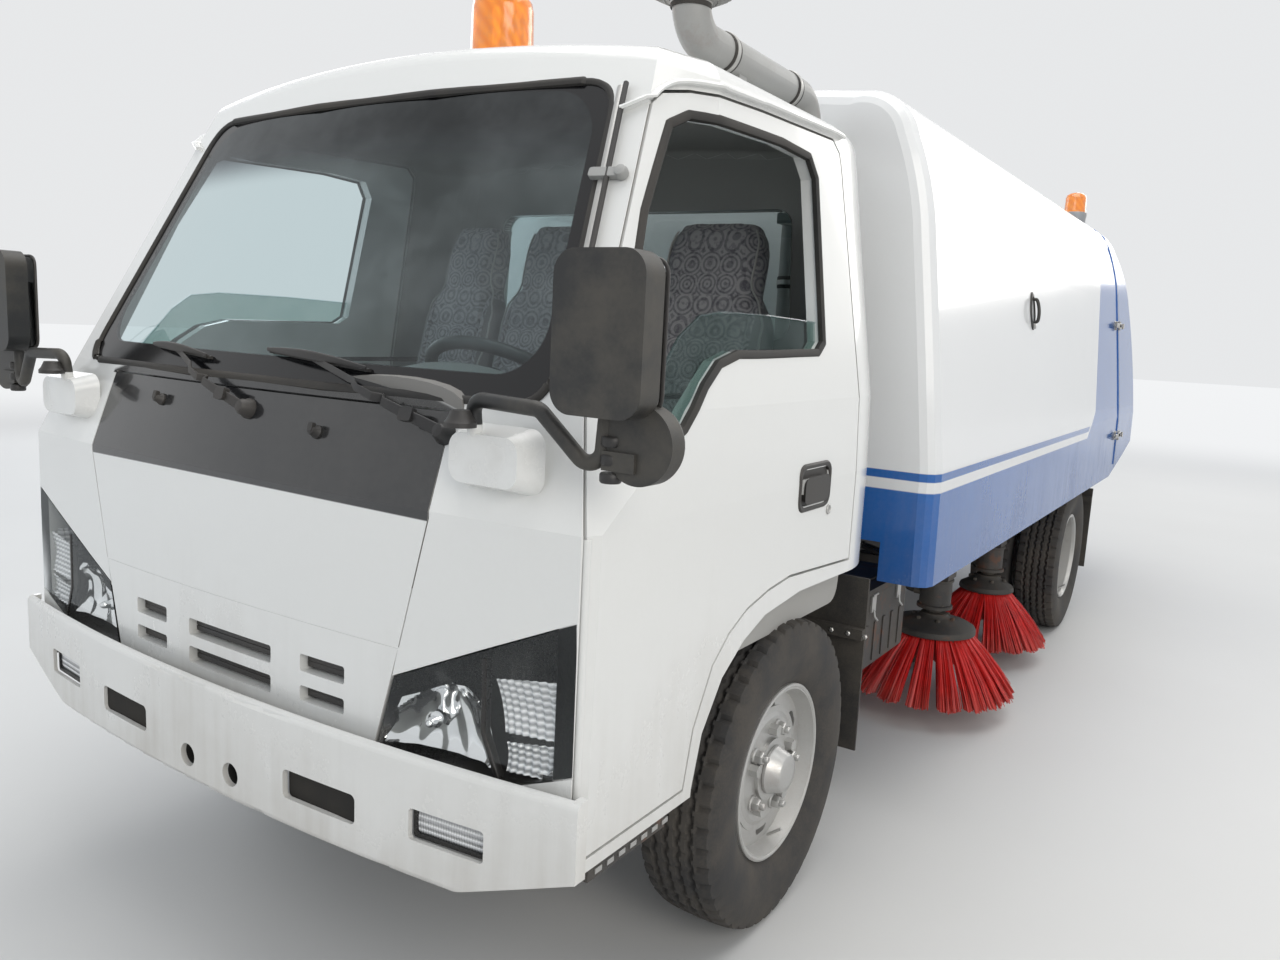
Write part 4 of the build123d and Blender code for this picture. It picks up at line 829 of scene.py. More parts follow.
def tyre_shape(x, y):
    """One tyre about an axle at (x, y)."""
    shape = Shape()
    rows = []
    for turn in range(turn_steps):
        angle = 2 * math.pi * turn / turn_steps
        ring = []
        for across, radius in tyre_out:
            wave = 0.0009 if abs(radius - 0.318) < 0.001 else 0.0
            ring.append((-across - wave, radius))
        for k in range(tread_steps + 1):
            across = -tread_half + 2 * tread_half * k / tread_steps
            crown = 0.3872 - 0.0048 * (across / tread_half) ** 2 - 0.004 * abs(across / tread_half) ** 8
            ring.append((across, crown - tread_depth(across, turn)))
        ring += [(across, radius) for across, radius in reversed(tyre_out)]
        rows.append([(x + across, y + radius * math.cos(angle), axle_height + radius * math.sin(angle))
                     for across, radius in ring])
    return shape.rings(rows, looped=True)


for name, end, places, y in (("front_tyre_", "f", [front_wheel_x], axle_front),
                             ("rear_tyres_", "r", [inner_wheel_x, outer_wheel_x], axle_rear)):
    for side, hand in sides:
        tyres = Shape()
        for x in places:
            tyres.join(tyre_shape(side * x, y))
        tread = tyres.make("tread_" + name + hand, "wheel_" + end + hand[0], "tyre", tyre_rubber, sharp=30)
        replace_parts(tread, name + hand)
print("tread faces", len(tread.data.polygons))

# %% [markdown]
# The disc wheels stay as packed. What makes them read as real is small: the lock ring in the rim's
# edge, wheel nuts with washers and stud ends, a hub cap with a rolled lip and a valve stem.

# %% Wheel fittings


def hub_place(x, y, side):
    """A place on the axle whose Z axis points out of the truck."""
    return shift((x, y, axle_height)) @ about("Y", side * quarter)


def wheel_fittings(side, x, y, face, front):
    """Ring, nuts and valve of one wheel. face is how far the disc lies out from the wheel's middle."""
    shape = Shape()
    place = hub_place(x, y, side)
    ring = [(0.2185, 0.0795), (0.2205, 0.0815), (0.2165, 0.0835), (0.2125, 0.0815), (0.2110, 0.0780),
            (0.2140, 0.0770)]
    shape.lathe(ring, place, 72, looped=True)
    out = face if front else face + 0.001
    for k in range(5):
        angle = math.radians(18 + 72 * k)
        spot = place @ shift((0.104 * math.cos(angle), 0.104 * math.sin(angle), 0))
        shape.lathe([(0.020, out), (0.0205, out + 0.004), (0.0175, out + 0.0065)], spot, 20, mark=1)
        nut = [(0.0165, out + 0.006), (0.0170, out + 0.009), (0.0170, out + 0.021), (0.0145, out + 0.025)]
        shape.lathe(nut, spot, 6, mark=1)
        shape.lathe([(0.0092, out + 0.02), (0.0092, out + 0.034), (0.007, out + 0.037)], spot, 14, mark=1)
    valve = place @ Vector((0.188, 0.02, 0.052))
    tip = place @ Vector((0.160, 0.02, 0.088))
    shape.tube([valve, valve.lerp(tip, 0.5), tip], 0.004, 8, mark=1)
    return shape


face = 0.050
for side, hand in sides:
    x = side * front_wheel_x
    fittings = wheel_fittings(side, x, axle_front, face, True)
    cap = [(0.058, face + 0.009), (0.061, face + 0.012), (0.060, face + 0.018), (0.0575, face + 0.02),
           (0.0475, face + 0.050), (0.043, face + 0.0535), (0.030, face + 0.055), (0.004, face + 0.0555)]
    fittings.lathe(cap, hub_place(x, axle_front, side))
    fittings.make("fittings_front_" + hand, "wheel_f" + hand[0], "rim", rim_silver, bare_steel, sharp=40)
print("front wheel fittings done")

# %% [markdown]
# Behind, twin wheels stand on each side with the outer disc dished inwards, so its nuts sit deep in the
# wheel. The same fittings are turned to face out of the dish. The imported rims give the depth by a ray.

# %% Rear wheel fittings
for side, hand in sides:
    found = side_on("rear_rims_" + hand, side, axle_rear + 0.092, axle_height + 0.02)
    face = abs(found[0].x) - outer_wheel_x
    fittings = wheel_fittings(side, side * outer_wheel_x, axle_rear, face, False)
    fittings.make("fittings_rear_" + hand, "wheel_r" + hand[0], "rim", rim_silver, bare_steel, sharp=40)
    print(hand, "disc face at", round(abs(found[0].x), 3))

# %% [markdown]
# The front has a wide black band between windscreen and panel, printed like glass, and white paint below.
# The panel is one pressing, so the band is a mask in its paint. The cowl above it, up to the windscreen,
# is the same gloss black, as is the strip under the grille.

# %% Front panel paint
band_black = (0.010, 0.011, 0.013)


def panel_band(finish, ground):
    """Gloss black over the upper part of the front panel."""
    x = finish.place("X")
    z = finish.place("Z")
    foot = 1.118 - x * x * 0.02
    return finish.mix((z - foot).above(0.0, 0.0015), ground, band_black)


def shell_band(finish, ground):
    """Gloss black on the cab's corner panels only under the windscreen, between the pillars."""
    x = finish.place("X").math("ABSOLUTE")
    y = finish.place("Y")
    z = finish.place("Z")
    cowl = (z - 1.298).above(0.0, 0.001) * (1 - (z - 1.33).above(0.0, 0.002))
    cowl = cowl * (1 - (x - 0.56).above(0.0, 0.004))
    under = 1 - (z - 0.6635).above(0.0, 0.001)
    front = 1 - (y + 2.86).above(0.0, 0.002)
    inner = 1 - (x - 0.845).above(0.0, 0.002)
    return finish.mix((cowl.either(under * inner) * front).math("MINIMUM", 1.0), ground, band_black)


panel_white = paint("panel_white", white, dirt=0.35, gloss=0.15, coat=0.7, tint=panel_band)
shell_white = paint("shell_white", white, dirt=0.45, tint=shell_band)
nodes["front_panel"].data.materials[0] = panel_white.material
nodes["cab_shell"].data.materials[0] = shell_white.material
print("front panel and cab shell painted")

# %% [markdown]
# A radiator behind the grille's slots stops the eye from seeing straight through into the frame. It is a
# plate of fine upright fins with cross bars on a backing sheet, coloured near-black as painted shade for the
# dark behind the slots, and two thin louvres cross each slot in front of it.

# %% Behind the grille
core = Shape()
for k in range(64):
    x = -0.44 + k * 0.014
    core.block((0.003, 0.02, 0.15), shift((x, -2.862, 0.74)))
for z in (0.668, 0.705, 0.742, 0.779, 0.812):
    core.block((0.90, 0.012, 0.006), shift((0, -2.868, z)))
core.block((0.92, 0.004, 0.17), shift((0, -2.848, 0.74)))
# The core's near-black is painted shade for the dark behind the grille.
core.make("radiator_core", "cab", "trim_black", painted_shade_black)
mesh_bars = Shape()
for x, half, low, high in ((0, 0.140, 0.762, 0.799), (0, 0.140, 0.700, 0.737), (0.29, 0.062, 0.768, 0.803),
                           (0.29, 0.062, 0.708, 0.739), (-0.29, 0.062, 0.768, 0.803),
                           (-0.29, 0.062, 0.708, 0.739)):
    for k in (1, 2):
        z = low + (high - low) * k / 3
        spots = [(x - half + 0.004 + (2 * half - 0.008) * i / 6, z) for i in range(7)]
        path = [Vector((sx, front_on("grille_panel", sx, 0.75)[0].y + 0.02, sz)) for sx, sz in spots
                if front_on("grille_panel", sx, 0.75)]
        if len(path) > 2:
            mesh_bars.sweep(path, slab(0.0035, 0.006, 0.002, 2))
mesh_bars.make("grille_louvres", "cab", "trim_black", trim_black)
print("grille backing done")

# %% [markdown]
# A headlamp is a clear cover over a black tub that holds a pressed reflector with a bulb, and next to it
# two stacked lamps with ribbed lenses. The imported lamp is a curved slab, so its own faces make the parts:
# the outer ones become the cover and the rest the tub, and everything inside is laid out on the same curve.

# %% Headlamp covers and tubs
lamp_black = dusty("lamp_black", (0.010, 0.010, 0.011), 0.25, dirt=0.15)


def split_lamp(name, side):
    """Two shapes from a lamp node: its outer skin and its other faces."""
    mesh = nodes[name].data
    skin, tub = Shape(), Shape()
    for shape in (skin, tub):
        shape.points = [v.co.copy() for v in mesh.vertices]
    for polygon in mesh.polygons:
        normal = polygon.normal
        centre = polygon.center
        outer = normal.y < -0.55 or side * normal.x > 0.62
        ahead = normal.y < -0.55
        reach = front_on(name, centre.x, centre.z) if ahead else side_on(name, side, centre.y, centre.z)
        shown = reach is not None and (reach[0] - centre).length < 0.004
        (skin if outer and shown else tub).face(polygon.vertices)
    return skin, tub


def tidy(piece):
    """Drops the points that no face uses."""
    work = bmesh.new()
    work.from_mesh(piece.data)
    bmesh.ops.remove_doubles(work, verts=work.verts, dist=1e-5)
    bmesh.ops.delete(work, geom=[v for v in work.verts if not v.link_faces], context="VERTS")
    work.to_mesh(piece.data)
    work.free()


for side, hand in sides:
    skin, tub = split_lamp("headlamp_" + hand, side)
    cover = skin.make("lamp_cover_" + hand, "cab", "lamp", clear_lens, outward=False, sharp=50)
    tray = tub.make("lamp_tub_" + hand, "cab", "lamp", lamp_black, outward=False)
    tidy(cover)
    tidy(tray)
    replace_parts(cover, "headlamp_" + hand)
    print(hand, "cover faces", len(cover.data.polygons), "tub faces", len(tray.data.polygons))

# %% [markdown]
# Places inside the lamp are found by a ray from an upright line inside the cab, so a patch can wrap round
# the corner. Each patch is a grid whose depth below the cover is a function: a bowl for the reflector,
# waves for the ribbed lenses. The facets are real steps in that depth.

# %% Inside the headlamps
lamp_line = (0.45, -2.62)


def lamp_spot(side, angle, z, depth):
    """A point below the lamp cover. angle is 0 straight ahead and 90 degrees out to the side."""
    out = Vector((math.sin(angle), -math.cos(angle), 0))
    start = Vector((lamp_line[0], lamp_line[1], z)) + out * 1.2
    start.x *= side
    found = meet("headlamp_left" if side > 0 else "headlamp_right", start, (-side * out.x, -out.y, 0))
    if found is None:
        return None
    return found[0] - found[1] * depth


def lamp_angle(x):
    """The angle of the place on the cover at a distance x from the truck's middle, found by halving."""
    low, high = math.radians(-3), math.radians(85)
    for _ in range(24):
        middle = (low + high) / 2
        found = lamp_spot(1, middle, 0.76, 0)
        if found is not None and found.x < x:
            low = middle
        else:
            high = middle
    return (low + high) / 2


def lamp_patch(side, inner, outer, low, high, depth, columns=36, rows=20):
    """A grid between inner(z) and outer(z) angles and low(a) and high(a) heights, with a depth(u, v)."""
    grid = []
    for j in range(rows + 1):
        v = j / rows
        row = []
        for i in range(columns + 1):
            u = i / columns
            guess = 0.5 * (inner(0.76) + outer(0.76))
            z = low(guess) + (high(guess) - low(guess)) * v
            for _ in range(3):
                angle = inner(z) + (outer(z) - inner(z)) * u
                z = low(angle) + (high(angle) - low(angle)) * v
            row.append(lamp_spot(side, angle, z, depth(u, v)))
        grid.append(row)
    last = Vector((0, -2.9, 0.75))
    for row in grid:
        for i, found in enumerate(row):
            if found is None:
                row[i] = row[i - 1] if i and row[i - 1] is not None else last
            last = row[i]
    return grid


a_inner = lamp_angle(0.478)
a_inner_top = lamp_angle(0.505)
a_split = lamp_angle(0.672)
a_split_low = lamp_angle(0.705)
a_outer = math.radians(66)
print("lamp angles", [round(math.degrees(a), 1) for a in (a_inner, a_inner_top, a_split, a_split_low,
                                                          a_outer)])


def lamp_x(angle):
    """How far out the cover lies at an angle, up to the corner."""
    return min(lamp_line[0] + (0.30 * math.tan(min(angle, 0.95))), 0.86)


def lamp_top(angle):
    """Height of the lamp's upper edge, which rises outwards."""
    return 0.800 + max(0.0, lamp_x(angle) - 0.479) * 0.448


def lamp_foot(angle):
    """Height of the lamp's lower edge, which rises near the corner."""
    return 0.660 + max(0.0, lamp_x(angle) - 0.437) * 0.062 + max(0.0, lamp_x(angle) - 0.728) * 0.30


def bowl(u, v):
    """A deep bowl with pressed facets."""
    r = math.hypot((u - 0.52) / 0.62, (v - 0.42) / 0.62)
    facet = 0.0022 * math.sin(u * 26.0) * math.cos(v * 7.0 + u * 3.0)
    return 0.010 + 0.036 * max(0.0, 1 - r * r) ** 0.6 + facet + 0.0025


def ribbed(u, v):
    return 0.012 + 0.0022 * math.sin(u * 2 * math.pi * 15) + 0.006 * (1 - (2 * v - 1) ** 2)


def mirror_inner(z):
    return a_inner + (a_inner_top - a_inner) * (z - 0.66) / 0.15


def mirror_outer(z):
    t = min(max((z - 0.68) / 0.10, 0.0), 1.0)
    return a_split_low + (a_split - a_split_low) * t - 0.012 - (0.10 if z > 0.81 else 0.0) * (z - 0.81) / 0.03


def mirror_top(a):
    return min(lamp_top(a) - 0.030, 0.826)


for side, hand in sides:
    glow = Shape()
    glow.rings(lamp_patch(side, mirror_inner, mirror_outer, lambda a: lamp_foot(a) + 0.016, mirror_top, bowl,
                          48, 30),
               closed=False)
    glow.make("lamp_reflector_" + hand, "cab", "lamp", reflector, sharp=12, outward=False)
    stacked = Shape()
    for low, high in ((0.760, 0.850), (0.690, 0.738)):
        def foot(a, low=low):
            return low + (a - a_split) * 0.040

        def top(a, high=high):
            return high + (a - a_split) * 0.085

        stacked.rings(lamp_patch(side, lambda z: a_split_low + 0.045 - max(0.0, z - 0.75) * 0.5,
                                 lambda z: a_outer, foot, top, ribbed, 120, 8), closed=False)
    stacked.make("lamp_signal_" + hand, "cab", "lamp", ribbed_lens, sharp=60, outward=False)
    bars = Shape()
    rows = [(a_split + 0.028 + (a_split_low - a_split) * min(max((0.76 - z) / 0.08, 0.0), 1.0), z)
            for z in [0.664 + 0.012 * k for k in range(20)]]
    path = [lamp_spot(side, a, z, 0.007) for a, z in rows]
    path = [p for p in path if p is not None]
    bars.sweep(path, slab(0.009, 0.005, 0.003, 3))
    bars.make("lamp_bar_" + hand, "cab", "lamp", lamp_black)
    bulb = lamp_spot(side, (a_inner + a_split) / 2 + 0.02, 0.737, 0.030)
    if bulb is not None:
        place = shift(bulb) @ about("X", quarter) @ about("Y", side * 0.25)
        lamp_bulb = Shape()
        lamp_bulb.lathe([(0.014, -0.012), (0.015, -0.004), (0.010, 0.0), (0.009, 0.010), (0.008, 0.016),
                         (0.004, 0.021), (0.001, 0.022)],
                        place, 24, mark=0)
        lamp_bulb.make("lamp_bulb_" + hand, "cab", "lamp", reflector)
print("headlamps done")

# %% [markdown]
# The mirror arms grow from a moulded box on each cab corner that is painted with the cab. It is one packed
# node, so its paint is a mask by place: white on the box, grained black plastic on arm and heads. Mirror
# glass sits in the heads' rear faces, and a raised frame runs round it.

# %% Mirrors
mirror_mix = Finish("mirror_mix", Roughness=0.4)
box_x = mirror_mix.place("X").math("ABSOLUTE")
on_box = (1 - (box_x - 0.787).above(0.0, 0.001)) * (1 - (mirror_mix.place("Z") - 1.2925).above(0.0, 0.001))
grain = mirror_mix.noise(850, 3, 0.6)
film = mirror_mix.noise(5, 6, 0.7).above(0.52, 0.16)
plastic = mirror_mix.mix(film * 0.35, (0.016, 0.017, 0.018), (0.14, 0.125, 0.10))
mirror_mix.set(Base_Color=mirror_mix.mix(on_box, plastic, mirror_mix.mix(film * 0.2, white, earth)))
mirror_mix.set(Roughness=0.42 - on_box * 0.2 + film * 0.15)
mirror_mix.bump(grain * (1 - on_box), 0.22, 0.0008)
mirror_glass = Finish("mirror_glass", Base_Color=(0.88, 0.90, 0.91), Metallic=1.0)
mirror_glass.set(Roughness=mirror_glass.noise(30, 4, 0.7).above(0.62, 0.1) * 0.25 + 0.02)
for side, hand in sides:
    nodes["mirror_" + hand].data.materials[0] = mirror_mix.material
    glass = Shape()
    head = shift((side * 0.925, -2.8945, 1.452)) @ about("X", -quarter)
    outline = slab(0.070, 0.110, 0.026, 6)
    glass.plate(outline, 0.0, 0.004, head, mark=0)
    rim_path = [head @ Vector((x * 1.045, y * 1.03, 0.003)) for x, y in outline]
    glass.tube(rim_path, 0.0035, 8, looped=True, mark=1)
    small = shift((side * 0.975, -2.8795, 1.290)) @ about("X", -quarter)
    glass.lathe([(0.001, 0.0065), (0.022, 0.0055), (0.042, 0.0025), (0.052, 0.0)], small, 40, mark=0)
    glass.lathe([(0.053, 0.0), (0.057, 0.003), (0.060, 0.002), (0.061, -0.002)], small, 40, mark=1)
    glass.make("mirror_faces_" + hand, "cab", "mirror_black", mirror_glass, trim_black)
    clamp = Shape()
    place = shift((side * 0.655, -2.957, 1.2935))
    clamp.lathe([(0.027, -0.004), (0.027, 0.004), (0.022, 0.010), (0.0165, 0.022), (0.0155, 0.024)], place,
                28)
    for k in range(3):
        knuckle = shift((side * 0.925, -2.910, 1.235 + k * 0.028))
        clamp.lathe([(0.0155, -0.008), (0.0175, -0.005), (0.0175, 0.005), (0.0155, 0.008)], knuckle, 24)
    clamp.make("mirror_clamps_" + hand, "cab", "mirror_black", trim_black)
print("mirrors done")

# %% [markdown]
# Rubber holds the glass. A bulb-shaped seal runs round the windscreen, and a flatter one round each door's
# window opening. The paths are the openings' own outlines, laid on the sheet metal by rays.

# %% Seals
screen_line = wedge(screen_half, screen_foot, 0.632, 1.932, 0.075, 8)
seal = Shape()
bead = [(-0.009, -0.003), (-0.008, 0.003), (-0.003, 0.0055), (0.003, 0.0055), (0.008, 0.003), (0.009, -0.003)]
path = [(x * 0.997, z) for x, z in spread(screen_line, 3, looped=True)]
strip_on(seal, path, bead, "windscreen cab_shell", front_on, looped=True)
seal.make("windscreen_seal", "cab", "trim_black", seal_rubber)
window_line = [(-0.790, 1.215), (-0.621, 1.290), (-0.540, 1.365), (-0.477, 1.407), (-0.400, 1.426),
               (-0.011, 1.430), (0.025, 1.452), (0.062, 1.830), (0.030, 1.876), (-0.111, 1.882),
               (-0.468, 1.868), (-0.520, 1.842), (-0.620, 1.671), (-0.770, 1.330)]
window_mid = Vector((-0.33, 1.60))


def round_window(grow):
    """The window's outline in the truck's frame, moved out from its middle."""
    out = []
    for y, z in spread(window_line, 10, looped=True):
        away = (Vector((y, z)) - window_mid)
        moved = Vector((y, z)) + away.normalized() * grow
        out.append((moved.x + axle_front, moved.y))
    return out


for side, hand in sides:
    rubber = Shape()
    lip = [(-0.010, -0.010), (-0.010, 0.001), (-0.004, 0.004), (0.005, 0.003), (0.008, 0.0), (0.008, -0.010)]
    spots = [(side, y, z) for y, z in round_window(0.006)]
    strip_on(rubber, spots, lip, "door_" + hand, side_on, looped=True)
    rubber.make("window_seal_" + hand, "door_l" if side > 0 else "door_r", "rubber", seal_rubber)
print("seals done")

# %% [markdown]
# The driver has wound the window down, so only the lower part of the glass stands above the sill, with a
# sloping front corner that slides behind the pillar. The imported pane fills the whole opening; this one
# stands for it, in the same plane, and is cut along the line at which the real glass has stopped.

# %% Door glass
pane_line = [(-0.776, 1.225), (-0.621, 1.294), (-0.540, 1.369), (-0.477, 1.411), (-0.400, 1.430),
             (-0.011, 1.434), (0.021, 1.453), (0.027, 1.497), (-0.20, 1.503), (-0.43, 1.503), (-0.515, 1.492),
             (-0.575, 1.452), (-0.640, 1.38), (-0.700, 1.31), (-0.760, 1.245)]
for side, hand in sides:
    body = "door_l" if side > 0 else "door_r"
    glass = Shape()
    bottom = pane_line[:7]
    top = list(reversed(pane_line[7:]))
    rows = []
    low_path = [Vector(p) for p in spread(bottom, 6)]
    high_path = [Vector(p) for p in spread(top, 6)]
    steps = 40
    for level in range(9):
        row = []
        for k in range(steps + 1):
            a = low_path[round(k * (len(low_path) - 1) / steps)]
            b = high_path[round(k * (len(high_path) - 1) / steps)]
            spot = a.lerp(b, level / 8)
            found = side_on("door_glass_" + hand, side, spot.x + axle_front, spot.y)
            row.append(found[0] if found else None)
        rows.append(row)
    for row in rows:
        for k in range(len(row)):
            if row[k] is None:
                row[k] = next(p for p in row[k:] + row[k::-1] if p is not None)
    thickness = Vector((-side * 0.0045, 0, 0))
    glass.rings(rows + [[p + thickness for p in row] for row in reversed(rows)], closed=False, looped=True)
    pane_piece = glass.make("door_pane_" + hand, body, "glass", door_pane, sharp=30)
    edge = Shape()
    edge.tube(rows[-1], 0.0026, 6)
    edge.make("door_pane_edge_" + hand, body, "glass", rear_pane)
    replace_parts(pane_piece, "door_glass_" + hand)
print("door glass done")

# %% [markdown]
# Along the left windscreen pillar runs a bright strip with the folded radio aerial beside it, held by a
# small clip. Above each door a rain gutter turns up over the roof's edge and down the front pillar.

# %% Pillar trim and gutters
pillar_z = [1.345 + 0.03 * k for k in range(20)]


def pillar_x(z, foot):
    """How far out the leaning pillar is at a height. foot is its distance where the screen begins."""
    return foot - (z - 1.34) * 0.172


trim_strip = Shape()
spots = [(pillar_x(z, 0.742), z) for z in pillar_z]
strip_on(trim_strip, spots, [(-0.0065, 0.0), (-0.005, 0.0035), (0.0, 0.005), (0.005, 0.0035), (0.0065, 0.0)],
         "cab_shell windscreen", front_on)
trim_strip.make("pillar_strip", "cab", "steel", bare_steel)
aerial = Shape()
spots = [(pillar_x(z, 0.757), z) for z in pillar_z]
path = [front_on("cab_shell", x, z, 0.010) for x, z in spots]
path = [p[0] for p in path if p]
aerial.tube(path, 0.0055, 10)
aerial.tube(path[:4], 0.0085)
clip_at = front_on("cab_shell", pillar_x(1.735, 0.757), 1.735, 0.008)
clip_place = stand_on(*clip_at)
aerial.block((0.075, 0.020, 0.014), clip_place, 0.006, mark=1)
aerial.lathe([(0.0125, -0.006), (0.0135, 0.004), (0.011, 0.012), (0.004, 0.0135)],
             clip_place @ shift((0.028, 0, 0)), 20, mark=1)
aerial.make("aerial", "cab", "trim_black", trim_black, pipe_grey, bevel=0.0015)
gutter_line = [(-0.575, 1.862), (-0.530, 1.905), (-0.470, 1.930), (-0.350, 1.939), (-0.199, 1.946),
               (0.0, 1.953), (0.190, 1.958), (0.238, 1.955)]
for side, hand in sides:
    gutter = Shape()
    spots = [(side, p.x + axle_front, p.y) for p in smooth_path([(y, z, 0) for y, z in gutter_line], 8)]
    hook = [(-0.006, -0.004), (-0.006, 0.010), (-0.002, 0.016), (0.003, 0.017), (0.006, 0.013),
            (0.002, 0.008), (0.004, -0.004)]
    strip_on(gutter, spots, [(a if side > 0 else -a, b) for a, b in hook], "cab_shell", side_on)
    gutter.make("gutter_" + hand, "cab", "cab_paint", cab_white)
print("pillar trim and gutters done")

# %% [markdown]
# A door handle is a black tray let into the door with a pull across it and a key cylinder behind. The
# packed door has the pocket; the tray lines it and stands a little proud, with softly rounded edges.

# %% Door handles and locks


def grown(shape, outline, levels, place):
    """Stacks an outline at (growth, height) levels. Growth moves each point away from both axes."""
    shape.rings([[place @ Vector((x + math.copysign(grow, x), y + math.copysign(grow, y), h))
                  for x, y in outline]
                 for grow, h in levels])


for side, hand in sides:
    body = "door_l" if side > 0 else "door_r"
    at = side_on("door_" + hand, side, axle_front - 0.029, 1.060)
    x_out = abs(at[0].x)
    turn = about("Y", side * quarter)
    place = shift((side * x_out, axle_front - 0.029, 1.120)) @ turn
    handle = Shape()
    frame_line = slab(0.045, 0.079, 0.032, 8)
    handle.plate(slab(0.043, 0.077, 0.031, 8), -0.0060, -0.0040, place)
    grown(handle, frame_line, ((0.0, -0.012), (0.0, 0.0015), (-0.0025, 0.0035), (-0.008, 0.0035),
                               (-0.011, 0.0), (-0.014, -0.010)), place)
    pull_line = slab(0.027, 0.064, 0.022, 7)
    up = place @ shift((0.006 * side, 0, 0))
    grown(handle, pull_line, ((0.0, -0.008), (0.0, 0.0055), (-0.002, 0.0075), (-0.005, 0.008)), up)
    handle.make("door_handle_" + hand, body, "trim_black", trim_black)
    lock_at = side_on("door_" + hand, side, axle_front + 0.061, 1.054)
    lock = Shape()
    lock_place = shift(lock_at[0]) @ turn
    lock.lathe([(0.0125, -0.002), (0.0125, 0.002), (0.011, 0.0035), (0.0085, 0.0035), (0.0075, 0.002),
                (0.001, 0.002)], lock_place, 28)
    lock.block((0.0022, 0.010, 0.006), lock_place)
    lock.make("door_lock_" + hand, body, "steel", bare_steel)
print("handles done")

# %% [markdown]
# Wipers are the finest work on the front. Each has a domed pivot cap, a pressed arm that narrows and
# bends at a hinge, and a blade carrier with claws that grip a thin rubber. Two washer jets stand below.

# %% Wipers
blade_ends = [((-0.400, 1.366), (-0.165, 1.352)), ((0.030, 1.376), (0.322, 1.356))]
pivots = [(0.02, 1.262), (0.545, 1.262)]
front_nodes = "cab_shell front_panel windscreen"
wiper = Shape()
for (px, pz), ((ax, az), (bx, bz)) in zip(pivots, blade_ends):
    base, base_out = front_on(front_nodes, px, pz)
    base_place = stand_on(base, base_out)
    wiper.lathe([(0.021, -0.002), (0.021, 0.006), (0.017, 0.013), (0.016, 0.020), (0.011, 0.027),
                 (0.002, 0.029)], base_place, 28)
    mx, mz = (ax + bx) / 2, (az + bz) / 2
    steps = 26
    path = []
    size = []
    for k in range(steps + 1):
        t = k / steps
        x, z = px + (mx - px) * t, pz + (mz - pz) * t
        lift = 0.016 + 0.022 * math.sin(math.pi * min(t * 1.1, 1.0)) + 0.006 * t
        found = front_on(front_nodes, x, z, lift)
        path.append(found[0])
        size.append(1.25 - 0.55 * min(t * 1.6, 1.0))
    arm_section = wedge(0.010, -0.003, 0.008, 0.004, 0.003, 3)
    wiper.sweep(path, arm_section, side=z_axis, scale=size)
    wiper.block((0.030, 0.026, 0.014), stand_on(path[5], base_out), 0.006)
    blade = []
    rubber_line = []
    for k in range(31):
        t = k / 30
        x, z = ax + (bx - ax) * t, az + (bz - az) * t
        arch = 0.016 + 0.012 * math.sin(math.pi * t)
        blade.append(front_on("windscreen cab_shell", x, z, arch)[0])
        rubber_line.append(front_on("windscreen cab_shell", x, z, 0.006)[0])
    thin = [0.55 + 0.75 * math.sin(math.pi * k / 30) for k in range(31)]
    wiper.sweep(blade, wedge(0.008, -0.0025, 0.006, 0.003, 0.002, 2), side=z_axis, scale=thin)
    wiper.sweep(rubber_line, wedge(0.0035, -0.006, 0.0028, 0.005, 0.0015, 2), side=z_axis)
    for k in (1, 8, 15, 22, 29):
        out = (blade[k] - rubber_line[k]).normalized()
        wiper.tube([rubber_line[k] - out * 0.002, blade[k] + out * 0.001], 0.0045, 8)
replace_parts(wiper.make("wiper_arms", "cab", "trim_black", trim_black, sharp=40), "wipers")
jets = Shape()
for x, z in ((-0.30, 1.255), (0.235, 1.236)):
    spot, out = front_on("front_panel cab_shell", x, z)
    place = stand_on(spot, out)
    jets.lathe([(0.013, -0.001), (0.0135, 0.004), (0.010, 0.010), (0.0085, 0.017), (0.0075, 0.020),
                (0.002, 0.0205)], place, 20)
    jets.block((0.012, 0.018, 0.010), place @ shift((0, 0.006, 0.017)), 0.003)
jets.make("washer_jets", "cab", "trim_black", trim_black, bevel=0.001)
print("wipers and jets done")

# %% [markdown]
# A sweeping brush is a black domed disc with thick tufts of stiff red plastic wire round its edge. A tuft is
# a flat bunch that fans out towards the ground. Each wire is a thin three-sided rod with a slight bend; the
# wires are placed with a seeded random spread, so no two tufts match and every run gives the same brush.

# %% Brushes
wires_a_tuft = 120


